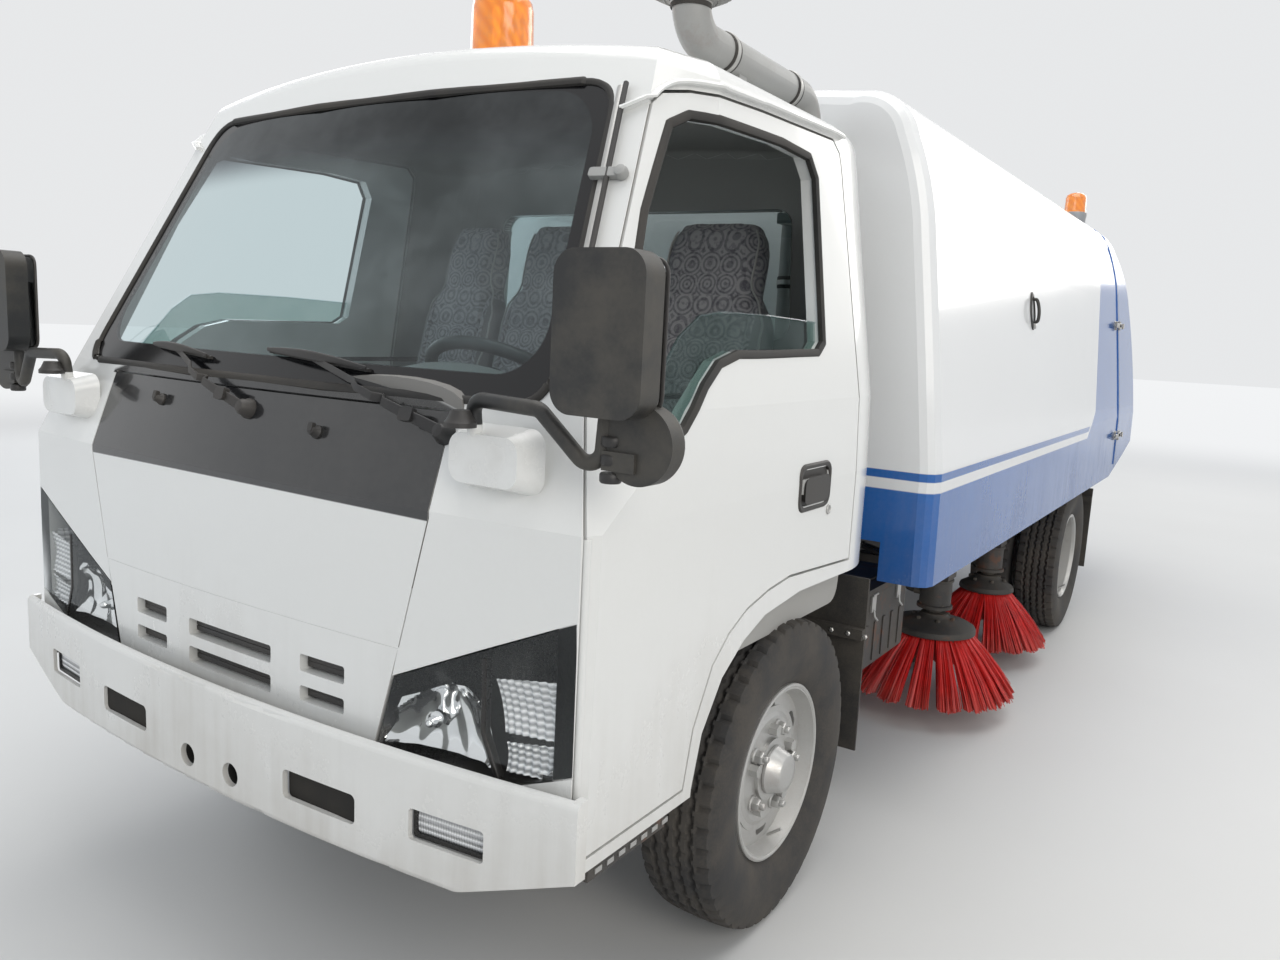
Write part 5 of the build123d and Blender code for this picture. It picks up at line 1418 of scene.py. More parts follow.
def brush_shape(x, y, tip_r, count, seed):
    """A brush about an upright axis: mark 0 is bristle, mark 1 the disc, mark 2 steel."""
    rng = random.Random(seed)
    shape = Shape()
    root_r = tip_r - 205
    place = shift((x, y, 0))
    mm = 0.001
    edge = (root_r + 28) * mm
    dome = [(0.052, 0.387), (0.056, 0.380), (0.070, 0.372), (edge - 0.020, 0.352), (edge - 0.004, 0.343),
            (edge, 0.334), (edge, 0.322), (edge - 0.012, 0.317), (0.05, 0.318)]
    shape.lathe(dome, place, 56, mark=1)
    shape.lathe([(0.036, 0.380), (0.050, 0.384), (0.050, 0.390), (0.030, 0.3915)], place, 40, mark=2)
    for k in range(6):
        turn = 2 * math.pi * k / 6
        bolt = place @ shift((0.078 * math.cos(turn), 0.078 * math.sin(turn), 0))
        shape.lathe([(0.009, 0.366), (0.009, 0.377), (0.006, 0.379)], bolt, 6, mark=2)
    for tuft in range(count):
        turn = 2 * math.pi * tuft / count + rng.uniform(-0.03, 0.03)
        radial = Vector((math.cos(turn), math.sin(turn), 0))
        around = Vector((-math.sin(turn), math.cos(turn), 0))
        for wire in range(wires_a_tuft):
            across = rng.uniform(-1, 1)
            deep = rng.uniform(-1, 1)
            root = place @ (radial * ((root_r + 6 * deep) * mm) + around * (across * 0.022)
                            + Vector((0, 0, 0.324)))
            reach = (tip_r - 30 + 18 * deep + rng.uniform(-7, 7)) * mm
            foot = 0.084 + 0.010 * abs(across) + abs(rng.gauss(0, 1)) * 0.006
            tip = place @ (radial * reach + around * (across * 0.042 + rng.uniform(-0.004, 0.004))
                           + Vector((0, 0, foot)))
            bow = radial * rng.uniform(0.004, 0.013) + around * rng.uniform(-0.003, 0.003)
            rows = []
            for step in range(4):
                t = step / 3
                centre = root.lerp(tip, t) + bow * (4 * t * (1 - t))
                thick = 0.0027 - 0.0006 * t
                spin = wire * 1.3
                rows.append([centre + radial * (thick * math.cos(spin + a))
                             + around * (thick * math.sin(spin + a))
                             for a in (0, 2.1, 4.2)])
            shape.rings(rows)
        clip = shift(place @ (radial * (root_r * mm) + Vector((0, 0, 0.317)))) @ about("Z", turn)
        shape.block((0.026, 0.046, 0.014), clip, 0.006, mark=1)
    return shape


# node, distance behind the front axle, tip radius in mm, tufts
brush_x = 0.690
brush_rows = [("brush_front", 1.743, 345, 18), ("brush_rear", 2.590, 300, 16)]
for side, hand in sides:
    for name, back, tip_r, count in brush_rows:
        body = "brush_" + name[6] + ("l" if side > 0 else "r")
        brush = brush_shape(side * brush_x, axle_front + back, tip_r, count, tip_r + side)
        bristles = brush.make("bristles_" + name[6:] + "_" + hand, body, "bristle", bristle_red, hub_black,
                              cast_iron, outward=False)
        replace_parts(bristles, name + "_" + hand)
print("bristle faces", len(bristles.data.polygons), "a brush")

# %% [markdown]
# The brush motors, their hoses and the arms that carry them hang from the frame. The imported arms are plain,
# so bolts, a flange and a greased shaft collar are added to each. Hoses are fixed ones, clipped at both ends.

# %% Brush motors
gear = Shape()
for side in (1, -1):
    for _, back, _, _ in brush_rows:
        y = axle_front + back
        place = shift((side * brush_x, y, 0))
        gear.lathe([(0.062, 0.412), (0.070, 0.412), (0.070, 0.424), (0.064, 0.428)], place, 36)
        gear.lathe([(0.064, 0.520), (0.067, 0.524), (0.067, 0.532), (0.050, 0.540)], place, 36)
        gear.lathe([(0.0225, 0.392), (0.031, 0.394), (0.031, 0.408), (0.024, 0.412)], place, 28, mark=1)
        for k in range(4):
            turn = math.pi / 4 + math.pi / 2 * k
            bolt = place @ shift((0.058 * math.cos(turn), 0.058 * math.sin(turn), 0))
            gear.lathe([(0.0075, 0.426), (0.0075, 0.434), (0.005, 0.436)], bolt, 6, mark=1)
        for dy in (-0.022, 0.022):
            hose = smooth_path([(side * 0.632, y + dy, 0.47), (side * 0.585, y + dy, 0.475),
                                (side * 0.54, y + dy * 1.2, 0.52), (side * 0.50, y + dy, 0.57),
                                (side * 0.43, y + dy, 0.60), (side * 0.362, y + dy, 0.615)], 6)
            gear.tube(hose, 0.009, 10, mark=2)
            for end in (0, -1):
                here = Vector(hose[end])
                gear.tube([here + Vector((side * 0.012, 0, 0)), here - Vector((side * 0.022, 0, 0))], 0.0125,
                          6, mark=1)
gear.make("brush_motors", "chassis", "frame_paint", chassis_black, cast_iron, seal_rubber, sharp=40)
print("brush motors done")

# %% [markdown]
# The seats are soft, so each cushion is a closed padded form that is inflated by a cloth simulation: the
# form is remeshed into even small faces, the cloth is given an inner pressure for twenty frames, and no
# point may move more than 14 mm. Seams are pressed in afterwards, because the remesh would erase them.

# %% Cushion maker
cap_travel = 0.014


def superring(half_x, half_y, centre, across, up, power, count=44):
    """A rounded rectangle of points round a centre."""
    ring = []
    for k in range(count):
        a = 2 * math.pi * k / count
        c, s = math.cos(a), math.sin(a)
        x = math.copysign(abs(c) ** (2 / power), c) * half_x
        y = math.copysign(abs(s) ** (2 / power), s) * half_y
        ring.append(centre + across * x + up * y)
    return ring


def remeshed(shape, voxel):
    """The shape as a mesh of even faces."""
    mesh = bpy.data.meshes.new("pad")
    mesh.from_pydata([tuple(p) for p in shape.points], [], shape.faces)
    work = bmesh.new()
    work.from_mesh(mesh)
    bmesh.ops.recalc_face_normals(work, faces=work.faces)
    work.to_mesh(mesh)
    work.free()
    pad = bpy.data.objects.new("pad", mesh)
    scene.collection.objects.link(pad)
    remesh = pad.modifiers.new("remesh", "REMESH")
    remesh.mode = "VOXEL"
    remesh.voxel_size = voxel
    even = bpy.data.meshes.new_from_object(pad.evaluated_get(bpy.context.evaluated_depsgraph_get()))
    pad.modifiers.clear()
    pad.data = even
    return pad


def inflate(pad, pressure=4.0):
    """Runs the cloth simulation on a pad and keeps its shape, with each point's travel capped."""
    start = np.zeros(len(pad.data.vertices) * 3)
    pad.data.vertices.foreach_get("co", start)
    cloth = pad.modifiers.new("cloth", "CLOTH")
    cloth.settings.quality = 4
    cloth.settings.mass = 0.25
    cloth.settings.tension_stiffness = 12
    cloth.settings.compression_stiffness = 12
    cloth.settings.bending_stiffness = 0.6
    cloth.settings.use_pressure = True
    cloth.settings.uniform_pressure_force = pressure
    cloth.settings.effector_weights.gravity = 0
    cloth.collision_settings.use_collision = False
    for number in range(1, 21):
        scene.frame_set(number)
    puffed = pad.evaluated_get(bpy.context.evaluated_depsgraph_get()).data
    end = np.zeros(len(puffed.vertices) * 3)
    puffed.vertices.foreach_get("co", end)
    travel = (end - start).reshape(-1, 3)
    length = np.linalg.norm(travel, axis=1, keepdims=True)
    travel *= np.minimum(1.0, cap_travel / np.maximum(length, 1e-9))
    start = (start.reshape(-1, 3) + travel).reshape(-1)
    pad.modifiers.clear()
    scene.frame_set(1)
    pad.data.vertices.foreach_set("co", start)
    return start.reshape(-1, 3)


# %% [markdown]
# A truck seat has a base cushion with raised side bolsters and a tall back that narrows to a headrest. Both
# are built as stacks of rounded sections, one driver's seat first. The double passenger seat uses the same
# two pads, stretched sideways about its own middle, which keeps the simulation short.

# %% Seat pads
base_form = Shape()
rows = []
for k in range(15):
    t = k / 14
    y = -2.305 + 0.485 * t
    ease = 1 - abs(2 * t - 1) ** 5
    half_h = 0.050 + 0.026 * ease
    rows.append(superring(0.188 + 0.032 * ease, half_h, Vector((0, y, 1.022 + 0.012 * (1 - t))), x_axis,
                          z_axis, 4.2))
base_form.rings(rows)
back_form = Shape()
rows = []
for k in range(25):
    t = k / 24
    low = Vector((0, -1.835, 1.10))
    middle = Vector((0, -1.758, 1.35))
    high = Vector((0, -1.655, 1.765))
    centre = low * (1 - t) ** 2 + middle * 2 * t * (1 - t) + high * t * t
    along = ((middle - low) * (1 - t) + (high - middle) * t).normalized()
    out = x_axis.cross(along)
    shoulder = 1 - min(max((t - 0.58) / 0.16, 0.0), 1.0) ** 2 * 0.26
    ease = 1 - abs(2 * t - 1) ** 9 * 0.28
    rows.append(superring(0.212 * shoulder * ease, (0.058 - 0.012 * t) * (0.6 + 0.4 * ease), centre, x_axis,
                          out, 3.6))
back_form.rings(rows)
voxel = 0.006
base_pad = remeshed(base_form, voxel)
back_pad = remeshed(back_form, voxel)
base_points = inflate(base_pad)
back_points = inflate(back_pad, 5.0)
print("pad points", len(base_points), len(back_points))

# %% [markdown]
# Now the seams. On the base a lengthwise welt on each side parts the middle from the bolsters and two
# cross channels hold the foam; the back has side welts and three channels below the headrest.

# %% Seams and covers


def press(points, form):
    """Moves cushion points in along the seams and raises the bolsters."""
    moved = points.copy()
    x = points[:, 0]
    y = points[:, 1]
    z = points[:, 2]
    if form == "base":
        top = np.clip((z - 1.03) / 0.04, 0, 1)
        for line in (-0.148, 0.148):
            moved[:, 2] -= 0.009 * np.exp(-((x - line) / 0.0065) ** 2) * top
        for line in (-2.185, -2.06, -1.945):
            moved[:, 2] -= 0.008 * np.exp(-((y - line) / 0.0075) ** 2) * top * (np.abs(x) < 0.15)
        moved[:, 2] += 0.012 * np.exp(-((np.abs(x) - 0.185) / 0.03) ** 2) * top
        welt = np.exp(-((z - 1.035) / 0.005) ** 2)
        moved[:, 0] -= np.sign(x) * 0.004 * welt
    else:
        front = np.clip((-1.79 + (z - 1.2) * 0.27 - y) / 0.03, 0, 1)
        for line in (-0.142, 0.142):
            moved[:, 1] += 0.009 * np.exp(-((x - line) / 0.0065) ** 2) * front
        for line in (1.225, 1.335, 1.445, 1.565):
            moved[:, 1] += 0.0075 * np.exp(-((z - line) / 0.0075) ** 2) * front * (np.abs(x) < 0.145)
        moved[:, 1] -= 0.010 * np.exp(-((np.abs(x) - 0.178) / 0.03) ** 2) * front * (z < 1.54)
    return moved


base_pressed = press(base_points, "base")
back_pressed = press(back_points, "back")


def cushion(name, pad, points, x, share):
    """One covered cushion at a distance x from the truck's middle, share times as wide as the pad."""
    mesh = pad.data.copy()
    placed = points.copy()
    placed[:, 0] = placed[:, 0] * share + x
    mesh.vertices.foreach_set("co", placed.reshape(-1))
    mesh.materials.clear()
    mesh.materials.append(seat_cloth.material)
    mesh.materials.append(seat_side.material)
    wide = 0.165 * share
    marks = [0 if abs(p.center.x - x) < wide and p.normal.y < 0.3 else 1 for p in mesh.polygons]
    mesh.polygons.foreach_set("material_index", marks)
    mesh.shade_smooth()
    cover = bpy.data.objects.new(name, mesh)
    scene.collection.objects.link(cover)
    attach(cover, "cab")
    return cover


covers = {}
# seat, distance from the middle, share of the pad's width
seat_rows = (("driver", 0.400, 1.06), ("middle", -0.165, 0.72), ("passenger", -0.490, 0.74))
for seat, x, share in seat_rows:
    covers[seat] = (cushion("seat_base_" + seat, base_pad, base_pressed, x, share),
                    cushion("seat_back_" + seat, back_pad, back_pressed, x, share))
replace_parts(covers["driver"][0], "seat_left")
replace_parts(covers["middle"][0], "seat_right")
for pad in (base_pad, back_pad):
    bpy.data.objects.remove(pad)
welts = Shape()
for seat, x, share in seat_rows:
    for side in (-1, 1):
        line = []
        for k in range(20):
            t = k / 19
            z = 1.14 + 0.60 * t
            near = np.abs(back_pressed[:, 2] - z) < 0.008
            near &= back_pressed[:, 0] * side > 0
            edge = back_pressed[near]
            score = edge[:, 0] * side - edge[:, 1] * 0.9
            best = edge[np.argmax(score)]
            line.append((best[0] * share + x + side * 0.001, best[1] - 0.001, z))
        welts.tube(smooth_path(line, 2), 0.0032, 8)
welts.make("seat_welts", "cab", "seat_fabric", liner_grey)
frames = Shape()
for x, half in ((0.400, 0.215), (-0.165, 0.145), (-0.490, 0.145)):
    place = shift((x, -2.05, 0.946))
    frames.block((2 * half, 0.46, 0.030), place, 0.03)
    for side in (-1, 1):
        frames.block((0.030, 0.40, 0.020), shift((x + side * half * 0.7, -2.06, 0.940)), 0.004)
        hinge = shift((x + side * (half + 0.004), -1.845, 1.03)) @ about("Y", quarter)
        frames.lathe([(0.036, -0.006), (0.040, -0.003), (0.040, 0.003), (0.036, 0.006)], hinge, 24)
frames.make("seat_frames", "cab", "trim_black", trim_black, bevel=0.002)
print("seats done")

# %% [markdown]
# The cab is finished inside, since the windows show it. Its lining is a copy of the shell's inward faces,
# lifted off by three millimetres and covered in grey trim. Each door then gets a moulded card with an
# armrest, a window crank, a pull handle and a map pocket, which ride on the door.

# %% Cab lining
lining = Shape()
shell = nodes["cab_shell"].data
to_world = nodes["cab_shell"].matrix_world
middle = Vector((0.0, -2.15, 1.40))
index_of = {}
for polygon in shell.polygons:
    centre = to_world @ polygon.center
    normal = (to_world.to_3x3() @ polygon.normal).normalized()
    toward = middle - centre
    inside = abs(centre.x) < 0.852 and -2.93 < centre.y < -1.492 and 0.93 < centre.z < 2.01
    if inside and normal.dot(toward.normalized()) > 0.30 and polygon.area > 2e-6:
        spots = []
        for number in polygon.vertices:
            key = (number, round(normal.x, 1), round(normal.y, 1), round(normal.z, 1))
            if key not in index_of:
                index_of[key] = len(lining.points)
                lining.points.append(to_world @ shell.vertices[number].co + normal * 0.003)
            spots.append(index_of[key])
        lining.faces.append(spots)
        lining.marks.append(0)
lining.make("cab_lining", "cab", "dash", liner_grey, outward=False)
print("lining faces", len(lining.faces))

# %% [markdown]
# Door cards are flat outlines set one on another: the card itself, then its pocket and armrest. The crank, its
# knob and the speaker's rings are turned about axes that point into the cab.

# %% Door cards
for side, hand in sides:
    card = Shape()
    turned = Matrix(((0, 0, side, 0), (1, 0, 0, 0), (0, 1, 0, 0), (0, 0, 0, 1)))
    outline = rounded([(-2.74, 0.76), (-1.66, 0.76), (-1.62, 1.10), (-1.62, 1.27), (-2.20, 1.27),
                       (-2.40, 1.12), (-2.76, 1.03)], 0.05, 5)
    card.plate(outline, 0.806, 0.818, turned)
    pocket = rounded([(-2.68, 0.80), (-1.78, 0.80), (-1.80, 0.96), (-2.66, 0.96)], 0.035, 5)
    card.plate(pocket, 0.782, 0.806, turned, mark=1)
    rest = rounded([(-2.30, 1.060), (-1.74, 1.060), (-1.74, 1.115), (-2.30, 1.100)], 0.022, 5)
    card.plate(rest, 0.752, 0.806, turned, mark=1)
    grip = smooth_path([(side * 0.806, -2.26, 1.16), (side * 0.770, -2.24, 1.165),
                        (side * 0.768, -2.14, 1.185), (side * 0.768, -2.05, 1.19),
                        (side * 0.806, -2.03, 1.19)], 6)
    card.tube(grip, 0.010, 12, mark=1)
    crank = shift((side * 0.803, -2.42, 1.005)) @ about("Y", -side * quarter)
    card.lathe([(0.024, 0.0), (0.024, 0.010), (0.012, 0.016)], crank, 28, mark=1)
    card.tube([crank @ Vector((0, 0, 0.012)), crank @ Vector((0.05, 0.06, 0.022))], 0.0065, 10, mark=1)
    card.lathe([(0.006, 0.018), (0.012, 0.024), (0.013, 0.044), (0.008, 0.050)],
               crank @ shift((0.05, 0.06, 0.0)), 20, mark=1)
    for ring in (0.030, 0.044, 0.058):
        speaker = shift((side * 0.806, -2.60, 0.885)) @ about("Y", -side * quarter)
        card.lathe([(ring, 0.0), (ring, 0.004), (ring + 0.006, 0.004), (ring + 0.006, 0.0)], speaker, 32,
                   looped=True, mark=1)
    card.make("door_card_" + hand, "door_" + hand[0], "dash", liner_grey, dash_grey, bevel=0.003)
print("door cards done")

# %% [markdown]
# The dashboard in the CAD model is one moulding. On top of it come a padded cowl over the gauges, round air
# vents, a radio panel without marks, a glove box lid, the column with its two stalks, and the gear lever.
# The steering wheel keeps the CAD rim and gets a moulded pad and spoke covers.

# %% Dashboard
dials = Shape()
gauge_x, gauge_z = 0.39, 1.318
hood = []
for k in range(13):
    t = k / 12
    a = math.pi * t
    hood.append((gauge_x + 0.185 * math.cos(a), gauge_z + 0.060 * math.sin(a) ** 0.7))
outer = [Vector((x, -2.690, z)) for x, z in hood]
back = [Vector((gauge_x + (x - gauge_x) * 0.97, -2.86, 1.305 + (z - gauge_z) * 0.8)) for x, z in hood]
dials.rings([outer, back])
face = shift((gauge_x, -2.685, 1.336)) @ about("X", quarter)
for x, r in ((-0.085, 0.034), (0.0, 0.022), (0.085, 0.034)):
    dials.lathe([(r, 0.0), (r, -0.006), (r - 0.004, -0.006), (r - 0.004, 0.0)], face @ shift((x, 0.004, 0)),
                32, looped=True, mark=1)
    dials.tube([face @ Vector((x, 0.004, -0.002)), face @ Vector((x - r * 0.5, 0.004 + r * 0.45, -0.002))],
               0.0012, 6, mark=2)
for x in (-0.62, -0.12, 0.06, 0.64):
    vent = shift((x, -2.590, 1.225)) @ about("X", quarter - 0.2)
    dials.lathe([(0.036, 0.0), (0.036, -0.010), (0.029, -0.010), (0.027, 0.0)], vent, 36, looped=True, mark=1)
    for k in range(4):
        dials.block((0.050, 0.003, 0.006), vent @ shift((0, -0.018 + 0.012 * k, -0.004)), mark=1)
radio = shift((-0.03, -2.605, 1.155)) @ about("X", 0.15)
dials.block((0.178, 0.020, 0.050), radio, 0.004, mark=1)
for x in (-0.07, 0.07):
    knob = radio @ shift((x, 0.010, 0)) @ about("X", -quarter)
    dials.lathe([(0.011, 0.0), (0.011, 0.012), (0.009, 0.014)], knob, 20, mark=2)
for k in range(5):
    dials.block((0.014, 0.004, 0.008), radio @ shift((-0.034 + 0.017 * k, 0.012, -0.012)), 0.001, mark=2)
dials.block((0.36, 0.014, 0.11), shift((-0.40, -2.604, 1.135)) @ about("X", 0.12), 0.004)
dials.make("dash_fittings", "cab", "dash", dash_grey, trim_black, liner_grey, bevel=0.0015, outward=False)
column = Shape()
tilt = shift((0.390, -2.500, 1.300)) @ about("X", -math.radians(35))
column_low, column_high, column_r = -0.20, -0.040, 0.048
column.rings([[tilt @ Vector((x * 1.15, y, h)) for x, y in circle(column_r * grow, 28)]
              for h, grow in ((column_low, 1.0), (column_low + 0.05, 1.1), (column_high - 0.02, 1.05),
                              (column_high, 0.9))])
for side in (-1, 1):
    stalk = [tilt @ Vector((side * 0.04, 0.0, -0.062)), tilt @ Vector((side * 0.11, 0.004, -0.058)),
             tilt @ Vector((side * 0.165, 0.008, -0.045))]
    column.tube(stalk, 0.0065, 12)
    column.tube(stalk[1:], 0.0095, 12)
lever = smooth_path([(0.09, -2.32, 0.98), (0.10, -2.34, 1.10), (0.13, -2.38, 1.20), (0.14, -2.38, 1.245)], 6)
column.tube(lever, 0.008, 12, mark=1)
column.lathe([(0.008, 0.0), (0.020, 0.010), (0.024, 0.028), (0.018, 0.044), (0.004, 0.048)],
             shift((0.14, -2.38, 1.235)), 24)
column.lathe([(0.062, 0.962), (0.060, 0.985), (0.045, 0.995), (0.048, 1.005), (0.034, 1.015), (0.036, 1.025),
              (0.016, 1.055)],
             shift((0.092, -2.325, 0)), 28)
column.make("steering_column", "cab", "trim_black", trim_black, bare_steel)
pad = Shape()
pad_line = wedge(0.075, -0.05, 0.06, 0.055, 0.03, 6)
pad.stack(pad_line, ((0.90, -0.020), (1.0, -0.004), (0.97, 0.010), (0.85, 0.017), (0.5, 0.020)), tilt)
for turn in (90, 210, 330):
    a = math.radians(turn)
    way = Vector((math.cos(a), math.sin(a), 0))
    pad.tube([tilt @ (way * 0.045 + Vector((0, 0, -0.002))), tilt @ (way * 0.12 + Vector((0, 0, -0.004))),
              tilt @ (way * 0.200 + Vector((0, 0, 0.0)))],
             0.0145, 14, scale=[1.15, 0.95, 0.8])
pad.make("wheel_pad", "steering", "trim_black", trim_black)
print("dashboard done")

# %% [markdown]
# Behind each opening of the bumper there is something: a duct that narrows to the rear and a cup behind a
# towing hole, both near-black as painted shade for the dark inside the openings, and a pressed reflector with
# a ribbed lens at each fog lamp. A rolled lip runs along the top of the bumper. The gap behind it stays open,
# because the cab's foot swings down there when the cab tilts.

# %% Bumper fittings
bumper_front, bumper_bow = -2.985, 0.072


def bumper_y(x, depth=0.0):
    """The bumper's face, which bows forward in the middle."""
    return bumper_front + bumper_bow * (x / 0.9) ** 2 + depth


duct_x, tow_x, fog_x = 0.334, 0.074, 0.641
bow = [k / 24 * 1.776 - 0.888 for k in range(25)]
lip = Shape()
lip_profile = rounded([(-0.0030, -0.022), (0.0065, -0.019), (0.0065, 0.019), (-0.0030, 0.0235)], 0.0028, 3)
rows = []
for x in bow:
    fade = 1 - max(0.0, (abs(x) - 0.86) / 0.03) ** 2 * 0.4
    rows.append([Vector((x, bumper_y(x) - across * fade, 0.6745 + up)) for across, up in lip_profile])
lip.rings(rows)
lip.make("bumper_lip", "chassis", "cab_paint", bumper_white)
dark = Shape()
for side in (1, -1):
    dark.rings([[Vector((side * duct_x + x * share, bumper_y(duct_x, depth) + 0.022 * x * side,
                         0.5555 + z * share))
                 for x, z in slab(0.101, 0.034, 0.012, 4)]
                for depth, share in ((0.002, 0.950), (0.0125, 0.945), (0.05, 0.92), (0.095, 0.86),
                                     (0.10, 0.80))])
    cup = shift((side * tow_x, bumper_y(tow_x, 0.0125), 0.523)) @ about("X", -quarter)
    dark.lathe([(0.0246, -0.0105), (0.0246, 0.05), (0.002, 0.052)], cup, 28, ends=False)
# Ducts and cups are painted shade: near-black for the dark inside the bumper's openings.
dark.make("bumper_ducts", "chassis", "frame_paint", painted_shade_black, outward=False)
for side, hand in sides:
    lamp_piece = Shape()
    x0 = side * fog_x
    lean = bumper_bow * 2 * fog_x / 0.81 * side

    def at(x, z, depth):
        return Vector((x0 + x, bumper_y(fog_x) + lean * x + depth, 0.570 + z))

    outline = slab(0.0802, 0.0292, 0.008, 4)
    inner = slab(0.0735, 0.0225, 0.006, 4)
    lamp_piece.rings([[at(x, z, d) for x, z in line] for line, d in ((outline, 0.016), (outline, 0.003),
                                                                     (inner, 0.003), (inner, 0.012),
                                                                     (inner, 0.016))],
                     looped=True, mark=2)
    rows = []
    for k in range(8):
        t = k / 7
        share = 1 - 0.55 * t ** 1.5
        rows.append([at(x * share, z * share, 0.0125 + 0.045 * t) for x, z in inner])
    lamp_piece.rings(rows, mark=1)
    ribs = 26
    front = []
    for k in range(ribs * 2 + 1):
        x = -0.0735 + 0.147 * k / (ribs * 2)
        front.append([at(x, z, 0.0075 + (0.0013 if k % 2 else 0.0) + 0.002 * (abs(z) / 0.0225) ** 2)
                      for z in (-0.0225, -0.0113, 0.0, 0.0113, 0.0225)])
    lamp_piece.rings(front, closed=False, ends=False, mark=3)
    bulb = shift(at(0, 0, 0.05)) @ about("X", quarter)
    lamp_piece.lathe([(0.009, 0.0), (0.009, 0.012), (0.005, 0.016), (0.006, 0.022), (0.003, 0.029)], bulb, 20,
                     mark=3)
    fog = lamp_piece.make("fog_lamp_" + hand, "chassis", "lamp", clear_lens, reflector, lamp_black,
                          ribbed_lens, outward=False, sharp=30)
    if side > 0:
        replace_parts(fog, "fog_lamps")
print("bumper fittings done")

# %% [markdown]
# A warning beacon is a black base with a fluted amber dome. Inside the dome stand a bright reflector and
# its motor. Both beacons come from one function, which takes the outline of the dome and scales its parts.

# %% Beacons


def beacon(name, body, place, base, dome, core, replaced, base_finish):
    """A beacon about the place's Z axis, from (radius, height) outlines."""
    shape = Shape()
    shape.lathe(base, place, 56, mark=1)
    wide = max(r for r, h in dome)
    rows = []
    for r, h in dome:
        rows.append([place @ Vector((x * (r - (0.0009 if k % 2 else 0.0)),
                                     y * (r - (0.0009 if k % 2 else 0.0)), h))
                     for k, (x, y) in enumerate(circle(1.0, 96))])
    shape.rings(rows)
    low, high = core
    shape.lathe([(wide * 0.22, low), (wide * 0.22, low + 0.02), (wide * 0.10, low + 0.024),
                 (wide * 0.10, (low + high) / 2), (wide * 0.13, (low + high) / 2 + 0.004),
                 (wide * 0.06, high - 0.02), (0.002, high - 0.018)], place, 24, mark=2)
    mirror = []
    for k in range(9):
        a = math.pi * (k / 8 - 0.5)
        mirror.append([place @ Vector((wide * (0.62 * math.cos(a) - 0.30), wide * 0.62 * math.sin(a), z))
                       for z in (low + 0.03, (low + high) / 2, high - 0.03)])
    shape.rings(mirror, closed=False, ends=False, mark=2)
    for k in range(3):
        a = 2 * math.pi * k / 3 + 0.4
        r, h = base[1]
        screw = place @ shift((r * math.cos(a), r * math.sin(a), h + 0.012)) @ about("Z", a) @ about("Y",
                                                                                                     quarter)
        shape.lathe([(0.005, -0.002), (0.005, 0.0015), (0.003, 0.003)], screw, 12, mark=3)
    piece = shape.make(name, body, "beacon_amber", beacon_amber, base_finish, reflector, bare_steel, sharp=45)
    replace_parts(piece, replaced)


beacon("cab_beacon", "cab", shift((0, -2.150, 0)),
       [(0.088, 2.028), (0.088, 2.066), (0.0875, 2.086), (0.084, 2.096), (0.084, 2.108), (0.079, 2.112),
        (0.050, 2.112)],
       [(0.0815, 2.110), (0.0815, 2.122), (0.0795, 2.128), (0.0775, 2.236), (0.0735, 2.256), (0.062, 2.270),
        (0.040, 2.278), (0.0, 2.281)], (2.112, 2.262), "roof_beacon", hub_black)
beacon("rear_beacon", "body", shift((0.600, 2.200, 0)),
       [(0.063, 2.190), (0.063, 2.222), (0.066, 2.240), (0.066, 2.260), (0.061, 2.264), (0.040, 2.264)],
       [(0.0605, 2.262), (0.0600, 2.274), (0.0580, 2.278), (0.0565, 2.346), (0.050, 2.362), (0.034, 2.372),
        (0.008, 2.378)],
       (2.264, 2.366), "body_beacon", pipe_grey)
print("beacons done")

# %% [markdown]
# The intake pipe is rolled steel in sections. It gets rubber sleeves with hose clamps at its joints, a rain
# cap with a seam and a skirt of wires, and bolts in the two brackets behind the cab.

# %% Pipe fittings
pipe = Shape()


def clamp(centre, along, radius):
    """A worm-drive hose clamp round a pipe."""
    place = stand_on(centre, along)
    pipe.lathe([(radius, -0.007), (radius + 0.0018, -0.006), (radius + 0.0018, 0.006), (radius, 0.007)],
               place, 44, looped=True, mark=1)
    pipe.block((0.016, 0.022, 0.011), place @ shift((0, -radius - 0.007, 0)), 0.003, mark=1)
    pipe.tube([place @ Vector((-0.014, -radius - 0.008, 0)), place @ Vector((0.016, -radius - 0.008, 0))],
              0.0045, 8, mark=1)


pipe_x = 0.5
for centre, along in (((pipe_x, -1.390, 1.05), (0, 0, 1)), ((pipe_x, -1.390, 1.62), (0, 0, 1)),
                      ((pipe_x, -1.390, 1.98), (0, 0, 1)), ((pipe_x, -1.530, 2.1415), (0, -1, 0.012)),
                      ((pipe_x, -1.900, 2.1460), (0, -1, 0.012)), ((pipe_x, -2.060, 2.2210), (0, 0, 1))):
    pipe.lathe([(0.0465, -0.018), (0.0490, -0.015), (0.0490, 0.015), (0.0465, 0.018)],
               stand_on(centre, along), 44, looped=True, mark=2)
    clamp(centre, along, 0.0490)
cap = shift((pipe_x, -2.060, 0))
pipe.lathe([(0.1035, 2.268), (0.1052, 2.270), (0.1052, 2.276), (0.1030, 2.280)], cap, 56, looped=True)
pipe.lathe([(0.010, 2.328), (0.015, 2.330), (0.013, 2.3305), (0.0, 2.3305)], cap, 24, mark=1)
for k in range(40):
    a = 2 * math.pi * k / 40
    pipe.tube([cap @ Vector((0.0617 * math.cos(a), 0.0617 * math.sin(a), 2.2205)),
               cap @ Vector((0.1008 * math.cos(a), 0.1008 * math.sin(a), 2.2385)),
               cap @ Vector((0.1048 * math.cos(a), 0.1048 * math.sin(a), 2.268))], 0.0016, 6)
for z in (1.15, 1.80):
    for x in (-0.024, 0.024):
        bolt = shift((pipe_x + x, -1.455, z + 0.015))
        pipe.bolt(0.007, 0.006, bolt, mark=1)
